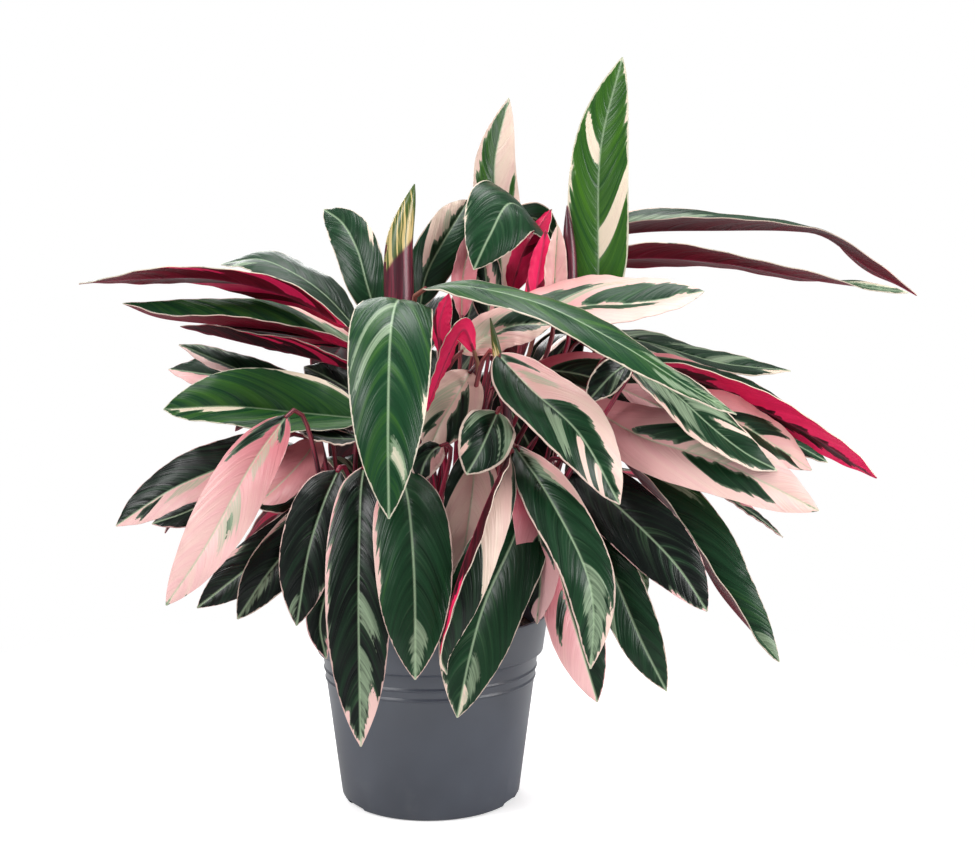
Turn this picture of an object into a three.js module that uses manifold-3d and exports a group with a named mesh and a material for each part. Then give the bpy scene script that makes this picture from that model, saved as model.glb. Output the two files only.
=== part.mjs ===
// Stromanthe Triostar, a variegated prayer plant, rooted in its grey nursery pot.
// Millimetres, +Z up, front towards -Y. The origin is the middle of the pot's foot, on the floor.
import * as THREE from "three";
import { mergeVertices } from "three/addons/utils/BufferGeometryUtils.js";
import Module from "manifold-3d";

const wasm = await Module();
wasm.setup();

// Pot: a 19 cm nursery pot
const POT_HEIGHT = 150;
const FOOT_RADIUS = 71.5;
const SHOULDER_RADIUS = 87;
const RIM_BAND_HEIGHT = 31;
const RIM_STEP = 4;
const RIM_RADIUS = 95;
const RIM_EDGE = 1.5;
const WALL = 2.2;
const FOOT_ROUND = 4;
const FOOT_BEVEL = 1.2;
const POT_SIDES = 36;
const RING_HEIGHTS = [98, 106];
const RING_RELIEF = 0.9;
const RING_HALF_WIDTH = 2;
const RING_FLAT = 0.6;
const NOTCH_ANGLES = [95, 215, 335];
const NOTCH_WIDTH = 22;
const NOTCH_HEIGHT = 4;

// Soil
const CLEARANCE = 0.3;
const SOIL_TOP = 133;
const SOIL_RINGS = 4;
const CRUMB_HEIGHT = 2.2;
const HEAP_PITCH = 0.21;
const LUMP_PITCH = 0.55;
const HOLE_OVERSHOOT = 10;

// Canes and leaf stalks
const CANE_RADIUS = 6.5;
const CANE_SIDES = 8;
const CANE_ROOT = 96;
const CANE_TAPER = 0.75;
const STALK_FOOT_RADIUS = 2.4;
const STALK_NECK_RADIUS = 1.7;
const STALK_SIDES = 4;
const STALK_ROWS = [0, 0.35, 0.65, 0.82, 0.93];
const STALK_OFFSET = 3;
const STALK_LEAD = 35;
const STALK_LEAD_SHARE = 0.33;
const STALK_SINK = 12;

// Blades
const BLADE_THICKNESS = 0.8;
const ROW_LENGTH = 27;
const FEWEST_ROWS = 5;
const NARROW_BLADE = 39;
const NECK_HALF_WIDTH = 2;
const TIP_HALF_WIDTH = 0.6;
const WIDEST_AT = 0.42;
const NECK_ROUNDNESS = 0.62;
const TIP_FULLNESS = 2.6;
const TIP_SHARPNESS = 0.9;
const PUFF = 0.07;
const WAVE_HEIGHT = 1.3;
const WAVES = 2.3;
const WAVE_SHIFT = 0.37;
const WAVE_SLANT = 0.15;
const FULL_WAVE_HALF_WIDTH = 15;
const FACING_AT = 0.6;
const SPEAR_SIDES = 7;
const SPEAR_START = 0.12;

const POT_LOOK = { color: 0x4d515c, roughness: 0.5, metalness: 0 };
const SOIL_LOOK = { color: 0x2b2019, roughness: 0.95, metalness: 0 };
const LEAF_LOOK = { color: 0x2f6b3f, roughness: 0.45, metalness: 0 };

// A leaf blade. Its spine runs from the stalk to the tip. facing is where its upper side looks at
// FACING_AT of its length. fold lifts both halves and roll turns the blade, in degrees; a list of
// them is spread along the length. stalk is the point that the leaf stalk leaves its cane towards.
function blade(name, width, fold, facing, stalk, spine, roll = [0]) {
  return { name, width, fold, facing, stalk, spine, roll };
}

// A young leaf, still rolled up.
function spear(name, width, facing, stalk, spine) {
  return { name, width, facing, stalk, spine, roll: [0], rolled: true };
}

// Each leafy stem: its name, the cane's x, y and top, and its leaves.
const SHOOTS = [
  ["left_high", [-40, 14, 175], [
    blade("arch_back", 37, 4, [-0.25, -0.77, 0.59], [-42, 21, 298],
      [[-43, 29, 381], [-52, 29, 411], [-61, 43, 440], [-75, 65, 463], [-94, 93, 477]]),
    blade("left_high_green", 54, -4, [0.25, -0.47, 0.85], [-52, 36, 295],
      [[-64, 58, 376], [-90, 67, 403], [-116, 74, 421], [-148, 81, 434], [-182, 87, 430]]),
    blade("left_red", 42, 4, [-0.03, 0.33, 0.94], [-53, 5, 296],
      [[-66, -4, 377], [-109, -12, 401], [-166, -21, 415], [-223, -27, 415],
       [-270, -29, 411]], [6, 6, 3, -5, -13]),
    blade("left_long_green", 52, 36, [0.14, -0.35, 0.93], [-47, 9, 284],
      [[-54, 5, 358], [-111, -4, 374], [-168, -14, 380], [-210, -19, 385], [-238, -22, 396]]),
    blade("left_dark_red", 44, 14, [0.18, 0.29, 0.94], [-48, 15, 273],
      [[-55, 15, 341], [-104, 6, 355], [-151, 1, 366], [-198, -2, 378]]),
    blade("left_dark_b", 32, 14, [0.07, 0.5, 0.87], [-47, 24, 283],
      [[-54, 35, 357], [-91, 32, 367], [-136, 28, 374], [-177, 26, 377]]),
    blade("inner_left", 40, 6, [0.08, -0.65, 0.75], [-43, 21, 255],
      [[-47, 27, 311], [-68, 38, 325], [-88, 42, 336], [-107, 51, 344]]),
  ]],
  ["left_mid", [-60, -6, 172], [
    blade("left_thin", 36, 12, [0.36, -0.53, 0.77], [-70, 13, 258],
      [[-81, 36, 317], [-131, 30, 332], [-167, 22, 347], [-204, 19, 363]]),
    blade("left_small", 47, 8, [0.13, -0.59, 0.8], [-89, 17, 257],
      [[-118, 46, 317], [-158, 47, 333], [-189, 45, 338], [-219, 46, 342]]),
    blade("left_broad", 64, 28, [0.06, -0.81, 0.58], [-54, -30, 252],
      [[-50, -36, 307], [-100, -28, 311], [-151, -45, 317], [-202, -47, 315]]),
    blade("left_sliver", 24, 10, [0.12, -0.43, 0.89], [-54, -26, 242],
      [[-47, -47, 292], [-75, -46, 293], [-99, -43, 298]]),
  ]],
  ["left_low", [-62, -32, 168], [
    blade("left_low_pink", 49, 8, [-0.19, -0.77, 0.61], [-88, -25, 240],
      [[-113, -19, 292], [-156, -30, 271], [-199, -38, 252], [-242, -40, 224]]),
    blade("left_low_under", 38, 6, [-0.2, -0.74, 0.64], [-99, -10, 226],
      [[-137, 12, 268], [-168, 4, 245], [-194, -2, 230], [-223, -4, 220]]),
    blade("pink_hang", 43, 4, [-0.01, -0.95, 0.3], [-84, -49, 252],
      [[-104, -73, 312], [-127, -99, 277], [-156, -119, 222], [-184, -126, 180]]),
    blade("peach_behind", 38, 6, [-0.19, -0.85, 0.5], [-74, -35, 240],
      [[-87, -25, 290], [-99, -36, 273], [-114, -44, 257], [-131, -47, 242]]),
    blade("left_mid_dark", 38, 6, [-0.12, -0.67, 0.73], [-65, -15, 212],
      [[-67, -10, 248], [-94, -16, 246], [-114, -23, 242], [-136, -25, 237]]),
  ]],
  ["left_hang", [-42, -54, 165], [
    blade("low_left_a", 37, 6, [0.05, -0.96, 0.26], [-63, -37, 210],
      [[-84, -28, 246], [-103, -51, 220], [-134, -64, 197], [-174, -69, 166]]),
    blade("low_left_b", 38, 6, [0.08, -0.93, 0.36], [-60, -51, 210],
      [[-78, -52, 246], [-94, -80, 223], [-116, -95, 197], [-138, -99, 164]]),
    blade("low_left_c", 43, 4, [0.15, -0.95, 0.28], [-54, -59, 226],
      [[-67, -65, 270], [-74, -96, 250], [-83, -117, 217], [-91, -125, 165]]),
    blade("low_left_d", 24, 12, [-0.23, -0.96, 0.18], [-55, -60, 197],
      [[-67, -66, 208], [-74, -86, 181], [-78, -92, 158], [-73, -98, 134]]),
  ]],
  ["front_left", [-14, -66, 168], [
    blade("front_hang_a", 47, 6, [-0.01, -0.98, 0.18], [-30, -74, 229],
      [[-46, -82, 274], [-46, -112, 250], [-45, -140, 180], [-43, -152, 85]]),
    blade("front_hang_b", 55, -4, [0.05, -0.96, 0.27], [-16, -77, 229],
      [[-18, -92, 274], [-10, -126, 252], [-5, -150, 203], [-4, -160, 135]]),
    blade("centre_nub", 22, 0, [-0.03, -0.93, 0.36], [1, -76, 239],
      [[12, -85, 291], [6, -93, 288], [0, -98, 279], [-4, -98, 265]]),
  ]],
  ["front_mid", [14, -60, 170], [
    blade("front_pink", 42, 8, [0.17, -0.96, 0.23], [26, -64, 238],
      [[37, -72, 288], [35, -95, 259], [30, -108, 224], [23, -115, 182]]),
  ]],
  ["front_right", [37, -58, 168], [
    blade("front_fold", 44, [44, 44, 44, 44, 20], [0.84, -0.53, -0.09], [49, -82, 237],
      [[61, -107, 286], [42, -146, 248], [24, -168, 201], [14, -174, 159], [18, -173, 142]]),
    blade("front_low", 58, 4, [-0.11, -0.94, 0.31], [56, -72, 218],
      [[76, -88, 257], [64, -121, 226], [45, -140, 187], [34, -149, 150], [25, -156, 107]]),
    blade("front_burnt", 34, 10, [-0.22, -0.94, 0.27], [54, -76, 236],
      [[71, -91, 285], [81, -115, 244], [84, -130, 206], [81, -137, 169]]),
    blade("front_twin", 40, 6, [0.09, -0.95, 0.31], [65, -79, 198],
      [[93, -100, 223], [102, -121, 187], [112, -134, 153], [124, -139, 113]]),
    blade("centre_small", 40, 8, [0.16, -0.88, 0.45], [45, -72, 255],
      [[53, -93, 316], [48, -108, 306], [41, -119, 291], [31, -124, 274]]),
    blade("mid_long", 41, 4, [0.18, -0.86, 0.47], [52, -72, 239],
      [[66, -86, 291], [89, -125, 259], [112, -153, 216], [119, -161, 184], [117, -165, 144]]),
  ]],
  ["big_front", [-20, -26, 180], [
    blade("pale_lean", 39, 8, [0.47, -0.79, 0.38], [-14, 1, 308],
      [[-9, 28, 394], [-3, 32, 422], [13, 44, 453], [30, 77, 484]]),
    spear("spear_left", 23, [0.08, -0.99, 0.07], [-23, -14, 292],
      [[-25, -3, 367], [-25, 2, 402], [-24, 6, 447], [-12, 9, 491]]),
    blade("red_sheath", 18, 20, [0.44, 0.88, -0.19], [-5, -26, 286],
      [[9, -25, 358], [9, -23, 382], [16, -22, 404]]),
    blade("front_big", 60, -8, [0.07, -0.89, 0.44], [-17, -20, 286],
      [[-14, -37, 360], [-19, -66, 398], [-23, -110, 378], [-23, -145, 315], [-22, -157, 247]]),
  ]],
  ["centre", [16, 20, 185], [
    blade("tall", 50, 10, [-0.07, -1, 0], [76, 25, 294],
      [[136, 31, 368], [136, 26, 430], [137, 25, 519], [154, 24, 593]], [-5, 3]),
    blade("rosy_upright", 41, 12, [0.23, -0.97, 0.08], [38, 44, 304],
      [[61, 68, 385], [56, 81, 455], [52, 84, 514], [64, 92, 571]]),
    blade("hood", 64, -6, [0.37, -0.66, 0.66], [57, 62, 334],
      [[98, 104, 433], [85, 74, 465], [64, 40, 478], [48, 16, 451], [35, 6, 423]]),
    blade("pale_slip", 22, 16, [0.4, -0.91, 0.12], [21, 19, 304],
      [[25, 19, 385], [26, 26, 419], [35, 35, 459]]),
    blade("striped_slip", 28, 12, [-0.2, -0.95, 0.24], [32, 25, 301],
      [[48, 30, 379], [45, 36, 417], [41, 46, 452]]),
    blade("rosy_slip", 22, 14, [0.35, 0.91, -0.21], [50, 14, 301],
      [[84, 8, 379], [86, 11, 412], [93, 19, 455]]),
    blade("crimson_fold", 30, 10, [0.44, 0.74, -0.5], [41, 32, 317],
      [[66, 45, 406], [76, 55, 438], [87, 73, 457], [100, 73, 476]]),
    blade("grey_slip", 20, 20, [0.22, -0.97, 0.12], [57, 10, 302],
      [[99, 3, 381], [100, 11, 421], [102, 11, 459]]),
    spear("spear_mid", 12, [-0.06, -0.99, 0.1], [65, 16, 298],
      [[112, 12, 375], [112, 18, 430], [110, 22, 475]]),
    blade("green_behind", 34, 6, [0.15, -0.8, -0.59], [37, 72, 341],
      [[59, 123, 435], [70, 134, 467], [89, 140, 473], [111, 143, 454]]),
    blade("inner_low", 44, 6, [-0.16, -0.98, 0.14], [36, 31, 266],
      [[56, 41, 323], [69, 34, 301], [81, 28, 278], [89, 24, 247]]),
    blade("back_c6", 46, 8, [0.2, 0.55, 0.81], [21, 51, 275],
      [[26, 61, 340], [39, 103, 384], [55, 150, 360], [76, 185, 322]]),
  ]],
  ["cross", [12, -28, 182], [
    blade("centre_white", 44, 6, [0.05, -0.92, 0.38], [22, -36, 278],
      [[33, -45, 344], [22, -58, 325], [11, -68, 306], [2, -73, 285]]),
    blade("centre_curl", 22, 10, [-0.9, 0.39, 0.21], [24, -41, 287],
      [[36, -53, 359], [28, -64, 376], [18, -75, 360], [9, -83, 338], [1, -87, 316]]),
    spear("spear_front", 8, [-0.02, -1, 0.07], [37, -51, 254],
      [[62, -73, 305], [57, -79, 335], [52, -71, 365], [48, -76, 385]]),
    blade("long_green", 45, -6, [0.33, -0.47, 0.82], [5, -41, 317],
      [[-2, -51, 407], [27, -75, 409], [84, -107, 395], [139, -125, 367], [188, -131, 336],
       [222, -127, 317]]),
    blade("right_pale", 75, 8, [-0.09, -0.5, 0.86], [35, -25, 306],
      [[58, -20, 389], [102, -22, 392], [133, -30, 395], [163, -34, 396], [212, -38, 405]]),
    blade("pale_under", 42, 4, [-0.05, -0.8, 0.6], [19, -35, 287],
      [[26, -41, 359], [45, -44, 371], [67, -49, 379], [95, -51, 380]]),
    blade("mid_white", 54, 4, [0.16, -0.77, 0.62], [33, -47, 287],
      [[54, -74, 358], [77, -101, 334], [111, -128, 303], [139, -136, 254]]),
  ]],
  ["bars", [46, 38, 180], [
    blade("bar_a", 56, [38, 38, 34, 20, 10, 10, 10], [0.04, -0.09, 0.99], [77, 54, 339],
      [[107, 70, 447], [175, 72, 457], [241, 65, 458], [298, 57, 457], [326, 50, 451],
       [357, 41, 427], [397, 32, 403]], [12, 12, 9, 4, -2, -19, -19]),
    blade("bar_b", 46, 6, [0.22, 0.17, 0.96], [74, 41, 328],
      [[102, 42, 426], [171, 41, 434], [240, 32, 429], [311, 21, 415],
       [384, 13, 405]], [-13, -13, -4, 6, 44]),
    blade("wavy_right", 40, 4, [0.24, -0.44, 0.86], [93, 53, 294],
      [[139, 68, 371], [184, 75, 363], [245, 80, 346], [306, 83, 339]]),
    blade("right_back", 40, 4, [0.32, -0.65, 0.69], [109, 37, 283],
      [[172, 36, 353], [223, 39, 333], [276, 43, 313], [322, 41, 291]]),
    blade("inner_right", 48, 6, [0.22, -0.97, 0.14], [61, 49, 235],
      [[75, 60, 277], [86, 71, 308], [100, 86, 343], [130, 97, 383]]),
    blade("back_c1", 50, 8, [0.49, 0.27, 0.83], [61, 44, 268],
      [[75, 49, 330], [112, 59, 368], [153, 79, 348], [181, 114, 314]]),
    blade("back_c3", 50, 8, [0.44, 0.1, 0.89], [72, 33, 214],
      [[98, 28, 226], [148, 37, 256], [204, 48, 236], [247, 68, 204]]),
    blade("back_c5", 46, 8, [0.6, 0.38, 0.7], [64, 47, 190],
      [[83, 56, 196], [115, 73, 222], [150, 92, 194], [174, 114, 148]]),
  ]],
  ["right_mid", [66, -4, 176], [
    blade("right_red", 46, 4, [0.53, 0.42, 0.73], [122, -4, 277],
      [[175, -28, 348], [214, -36, 335], [252, -42, 317], [294, -50, 295], [343, -54, 263]]),
    blade("right_cross", 44, 6, [0.31, -0.73, 0.6], [109, -23, 282],
      [[151, -55, 356], [184, -72, 330], [212, -85, 304], [235, -92, 286], [259, -91, 273]]),
    blade("right_mid", 42, 6, [0.28, -0.76, 0.59], [130, -25, 266],
      [[195, -46, 328], [238, -56, 305], [291, -63, 270]]),
    blade("right_mid_back", 38, 6, [0.36, -0.58, 0.73], [133, -16, 267],
      [[203, -12, 330], [253, -24, 305], [312, -27, 272]]),
    blade("right_big_pink", 57, 4, [0.03, -0.89, 0.46], [94, -26, 260],
      [[121, -49, 319], [162, -72, 296], [220, -89, 278], [289, -96, 244]]),
    blade("right_upper_pink", 46, 6, [0.05, -0.82, 0.57], [72, -10, 277],
      [[78, -16, 346], [122, -30, 340], [163, -43, 324], [199, -58, 305], [231, -63, 284]]),
    blade("right_thin", 13, 10, [0.48, -0.49, 0.73], [139, -4, 222],
      [[211, -3, 257], [252, -7, 233], [282, -9, 210]]),
  ]],
  ["right_low", [52, -40, 168], [
    blade("right_dark", 50, 4, [-0.06, -0.92, 0.39], [80, -47, 230],
      [[107, -54, 275], [150, -89, 239], [183, -106, 206], [206, -109, 172]]),
    blade("right_fold", 62, [45, 45, 45, 45, 20], [0.56, -0.57, 0.6], [93, -39, 244],
      [[133, -36, 298], [177, -58, 243], [203, -72, 209], [222, -84, 177], [263, -92, 130]]),
    blade("right_hang", 36, 6, [-0.03, -0.95, 0.32], [89, -58, 202],
      [[126, -76, 230], [139, -104, 196], [156, -122, 155], [175, -125, 117]]),
    blade("right_narrow", 17, 0, [0.32, -0.83, 0.45], [91, -43, 198],
      [[130, -46, 223], [148, -54, 206], [163, -57, 190], [168, -60, 176]]),
    blade("right_curl", 24, 14, [-0.03, -0.93, 0.36], [101, -76, 280],
      [[151, -80, 352], [137, -89, 343], [119, -95, 324]]),
  ]],
  ["back_left", [-52, 46, 172], [
    blade("back_a1", 50, 8, [-0.26, 0.4, 0.88], [-41, 50, 265],
      [[-29, 55, 330], [-59, 96, 372], [-92, 143, 351], [-105, 188, 318]]),
    blade("back_a2", 52, 8, [-0.31, 0.28, 0.91], [-57, 47, 247],
      [[-61, 48, 300], [-99, 84, 330], [-142, 124, 312], [-183, 147, 282]]),
    blade("back_a3", 48, 8, [-0.5, 0.12, 0.86], [-72, 38, 223],
      [[-92, 30, 262], [-139, 37, 279], [-193, 47, 243], [-230, 69, 201]]),
    blade("back_a4", 50, 8, [-0.46, 0.58, 0.68], [-54, 57, 205],
      [[-57, 67, 232], [-78, 100, 262], [-103, 135, 229], [-130, 159, 176]]),
    blade("back_a5", 42, 8, [-0.7, 0.35, 0.62], [-67, 45, 196],
      [[-81, 43, 205], [-112, 55, 232], [-146, 68, 201], [-169, 87, 150]]),
  ]],
  ["back_mid", [-14, 56, 175], [
    blade("inner_mid", 42, 6, [-0.07, -0.98, 0.21], [4, 45, 263],
      [[21, 45, 323], [23, 54, 353], [30, 61, 386], [43, 66, 425]]),
    blade("back_b1", 52, 8, [-0.05, 0.53, 0.85], [-12, 55, 280],
      [[-10, 54, 352], [-12, 104, 398], [-16, 160, 375], [-32, 203, 338]]),
    blade("back_b2", 50, 8, [0.02, 0.47, 0.88], [-3, 65, 255],
      [[8, 74, 312], [8, 124, 352], [9, 180, 332], [21, 224, 300]]),
    blade("back_b3", 54, 8, [-0.29, 0.66, 0.7], [-24, 71, 228],
      [[-34, 85, 268], [-54, 124, 304], [-76, 167, 270], [-85, 205, 214]]),
    blade("back_b4", 48, 8, [0, 0.82, 0.57], [-7, 78, 201],
      [[0, 100, 222], [4, 132, 240], [8, 169, 206], [2, 198, 150]]),
    blade("back_b5", 44, 8, [0.18, 0.71, 0.68], [6, 74, 197],
      [[26, 92, 205], [32, 122, 232], [38, 152, 208], [50, 180, 166]]),
  ]],
  ["back_right", [20, 66, 172], [
    blade("back_c2", 52, 8, [0.21, 0.45, 0.87], [31, 71, 244],
      [[42, 75, 296], [60, 120, 332], [81, 170, 311], [109, 205, 278]]),
    blade("back_c4", 50, 8, [0.46, 0.62, 0.64], [40, 71, 208],
      [[59, 76, 238], [78, 108, 262], [99, 144, 228], [126, 166, 172]]),
  ]],
];

const vector = (point) => new THREE.Vector3(...point);
const radians = THREE.MathUtils.degToRad;

function solid(geometry) {
  geometry.deleteAttribute("normal");
  geometry.deleteAttribute("uv");
  const merged = mergeVertices(geometry, 1e-3);
  return new wasm.Manifold(new wasm.Mesh({
    numProp: 3,
    vertProperties: merged.attributes.position.array,
    triVerts: new Uint32Array(merged.index.array),
  }));
}

function geometryOf(made) {
  const { vertProperties, triVerts } = made.getMesh();
  const geometry = new THREE.BufferGeometry();
  geometry.setAttribute("position", new THREE.BufferAttribute(vertProperties, 3));
  geometry.setIndex(new THREE.BufferAttribute(triVerts, 1));
  return geometry;
}

function indexed(vertices, triangles) {
  const geometry = new THREE.BufferGeometry();
  geometry.setAttribute("position", new THREE.Float32BufferAttribute(vertices.flat(), 3));
  geometry.setIndex(triangles.flat());
  return solid(geometry);
}

// Half width of a blade as a share of its widest, at t of its length.
function outline(t) {
  if (t < WIDEST_AT) return (1 - (1 - t / WIDEST_AT) ** 2) ** NECK_ROUNDNESS;
  const past = (t - WIDEST_AT) / (1 - WIDEST_AT);
  return (1 - past ** TIP_FULLNESS) ** TIP_SHARPNESS;
}

// The value at t of a list that is spread evenly from 0 to 1. A lone number holds throughout.
function spread(values, t) {
  const list = [values].flat();
  const at = t * (list.length - 1);
  const low = Math.min(Math.floor(at), list.length - 1);
  const high = Math.min(low + 1, list.length - 1);
  return THREE.MathUtils.lerp(list[low], list[high], at - low);
}

function curveThrough(points) {
  return new THREE.CatmullRomCurve3(points, false, "catmullrom", 0.5);
}

const flattened = (normal, tangent) =>
  normal.clone().addScaledVector(tangent, -normal.dot(tangent)).normalize();

// A normal carried round a bend, from one tangent to the next.
const carried = (normal, from, to) =>
  normal.clone().applyQuaternion(new THREE.Quaternion().setFromUnitVectors(from, to));

// Points, tangents and upward normals along a spine, with the normal carried along without twist.
function spineFrames(leaf, rows) {
  const curve = curveThrough(leaf.spine.map(vector));
  const frames = [];
  for (let row = 0; row <= rows; row++) {
    frames.push({ point: curve.getPointAt(row / rows), tangent: curve.getTangentAt(row / rows) });
  }
  const start = Math.round(FACING_AT * rows);
  frames[start].normal = flattened(vector(leaf.facing), frames[start].tangent);
  for (let row = start + 1; row <= rows; row++) {
    frames[row].normal = flattened(frames[row - 1].normal, frames[row].tangent);
  }
  for (let row = start - 1; row >= 0; row--) {
    frames[row].normal = flattened(frames[row + 1].normal, frames[row].tangent);
  }
  frames.forEach((frame, row) => {
    frame.normal.applyAxisAngle(frame.tangent, radians(spread(leaf.roll, row / rows)));
    frame.side = frame.tangent.clone().cross(frame.normal);
  });
  return frames;
}

function rowsOf(leaf) {
  const length = curveThrough(leaf.spine.map(vector)).getLength();
  return Math.max(FEWEST_ROWS, Math.round(length / ROW_LENGTH));
}

// One cross-section of a blade: its upper points, then its lower ones on the way back.
function bladeSection(leaf, seed, t, { point, normal, side }) {
  const least = t === 0 ? NECK_HALF_WIDTH : TIP_HALF_WIDTH;
  const half = Math.max(leaf.width / 2 * outline(t), least);
  const fold = radians(spread(leaf.fold, t));
  const columns = leaf.width < NARROW_BLADE ? [1, 0, -1] : [1, 0.5, 0, -0.5, -1];
  const upper = [];
  const lower = [];
  for (const column of columns) {
    const hand = Math.sign(column);
    const across = Math.abs(column);
    const outward = side.clone().multiplyScalar(hand * Math.cos(fold));
    outward.addScaledVector(normal, across ? Math.sin(fold) : 0);
    const up = normal.clone().multiplyScalar(across ? Math.cos(fold) : 1 / Math.cos(fold));
    up.addScaledVector(side, -hand * Math.sin(fold));
    const phase = WAVES * t + WAVE_SHIFT * seed + WAVE_SLANT * column;
    const height = WAVE_HEIGHT * Math.min(1, half / FULL_WAVE_HALF_WIDTH);
    const wave = height * across ** 2 * Math.sin(2 * Math.PI * phase);
    const puff = PUFF * half * Math.sin(Math.PI * across);
    const middle = point.clone().addScaledVector(outward, half * across);
    middle.addScaledVector(up, puff + wave);
    upper.push(middle.clone().addScaledVector(up, BLADE_THICKNESS / 2));
    lower.unshift(middle.clone().addScaledVector(up, -BLADE_THICKNESS / 2));
  }
  return [...upper, ...lower];
}

// A round cross-section that starts at the frame's side.
function roundSection(sides, radius, { point, normal, side }) {
  const section = [];
  for (let i = 0; i < sides; i++) {
    const angle = i / sides * 2 * Math.PI;
    const edge = point.clone().addScaledVector(side, radius * Math.cos(angle));
    section.push(edge.addScaledVector(normal, radius * Math.sin(angle)));
  }
  return section;
}

// The stalk's cross-sections from inside the cane up to the neck, turned to meet the blade's frame.
function stalkSections(leaf, [x, y, top], neck) {
  const axis = new THREE.Vector3(x, y, 0);
  const foot = vector(leaf.stalk).sub(axis).setZ(0).setLength(STALK_OFFSET).add(axis);
  foot.z = top - STALK_SINK;
  const lead = Math.min(STALK_LEAD, neck.point.distanceTo(foot) * STALK_LEAD_SHARE);
  const before = neck.point.clone().addScaledVector(neck.tangent, -lead);
  const curve = new THREE.CubicBezierCurve3(foot, vector(leaf.stalk), before, neck.point);
  const sections = [];
  let { normal, tangent } = neck;
  for (const t of STALK_ROWS.toReversed()) {
    const here = curve.getTangentAt(t);
    normal = carried(normal, tangent, here);
    tangent = here;
    const frame = { point: curve.getPointAt(t), normal, side: tangent.clone().cross(normal) };
    const radius = THREE.MathUtils.lerp(STALK_FOOT_RADIUS, STALK_NECK_RADIUS, t);
    sections.unshift(roundSection(STALK_SIDES, radius, frame));
  }
  return sections;
}

// Triangles between two sections of unequal size, taken round together.
function stitch(low, lowCount, high, highCount) {
  const triangles = [];
  let i = 0;
  let j = 0;
  while (i < lowCount || j < highCount) {
    const here = [low + i % lowCount, high + j % highCount];
    if ((i + 1) / lowCount <= (j + 1) / highCount) {
      i++;
      triangles.push([here[0], here[1], low + i % lowCount]);
    } else {
      j++;
      triangles.push([here[0], here[1], high + j % highCount]);
    }
  }
  return triangles;
}

// Triangles between two sections of one size, split alike above and below.
function band(low, high, count) {
  const triangles = [];
  for (let i = 0; i < count; i++) {
    const next = (i + 1) % count;
    const [a, b, c, d] = [low + i, high + i, high + next, low + next];
    if (i < count / 2) triangles.push([a, b, c], [a, c, d]);
    else triangles.push([a, b, d], [b, c, d]);
  }
  return triangles;
}

// A closed skin over cross-sections, from the first to the last.
function skin(sections) {
  const triangles = [];
  let low = 0;
  for (let i = 1; i < sections.length; i++) {
    const [before, after] = [sections[i - 1].length, sections[i].length];
    const high = low + before;
    triangles.push(...(before === after ? band(low, high, after) : stitch(low, before, high, after)));
    low = high;
  }
  const first = sections[0].length;
  const last = sections.at(-1).length;
  for (let i = 1; i < first - 1; i++) triangles.push([0, i, i + 1]);
  triangles.push(...lid(low, last));
  return indexed(sections.flat().map((point) => point.toArray()), triangles);
}

// A section's closing triangles, zigzag, so that a flat tip closes without crossing itself.
function lid(start, count) {
  const triangles = [];
  let left = 0;
  let right = count - 1;
  while (right - left > 1) {
    triangles.push([start + left, start + right, start + left + 1]);
    left++;
    if (right - left > 1) triangles.push([start + left, start + right, start + right - 1]);
    right--;
  }
  return triangles;
}

function leafSolid(leaf, seed, cane) {
  const rows = rowsOf(leaf);
  const frames = spineFrames(leaf, rows);
  const sections = stalkSections(leaf, cane, frames[0]);
  frames.forEach((frame, row) => {
    const t = row / rows;
    if (leaf.rolled) {
      const share = outline(THREE.MathUtils.lerp(SPEAR_START, 1, t));
      const radius = Math.max(leaf.width / 2 * share, TIP_HALF_WIDTH);
      sections.push(roundSection(SPEAR_SIDES, radius, frame));
    } else {
      sections.push(bladeSection(leaf, seed, t, frame));
    }
  });
  return skin(sections);
}

function caneSolid([x, y, top]) {
  const topRadius = CANE_TAPER * CANE_RADIUS;
  const cane = new THREE.CylinderGeometry(topRadius, CANE_RADIUS, top - CANE_ROOT, CANE_SIDES);
  cane.rotateX(Math.PI / 2);
  cane.translate(x, y, (top + CANE_ROOT) / 2);
  return solid(cane);
}

function shootMesh([name, cane, leaves]) {
  const grown = leaves.map((leaf, seed) => leafSolid(leaf, seed, cane));
  const made = grown.reduce((shoot, leaf) => shoot.add(leaf), caneSolid(cane));
  return mesh(name, geometryOf(made), LEAF_LOOK);
}

function mesh(name, geometry, look) {
  const made = new THREE.Mesh(geometry, new THREE.MeshStandardMaterial(look));
  made.name = name;
  return made;
}

// Foot of the rim band, and the outer radius of the pot's body at height z below it.
const RIM_FOOT = POT_HEIGHT - RIM_BAND_HEIGHT;
const bodyRadius = (z) => THREE.MathUtils.lerp(FOOT_RADIUS, SHOULDER_RADIUS, z / RIM_FOOT);

const turned = (profile, sides) => {
  const outline2d = profile.map(([radius, z]) => new THREE.Vector2(radius, z));
  return new THREE.LatheGeometry(outline2d, sides).rotateX(Math.PI / 2);
};

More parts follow.
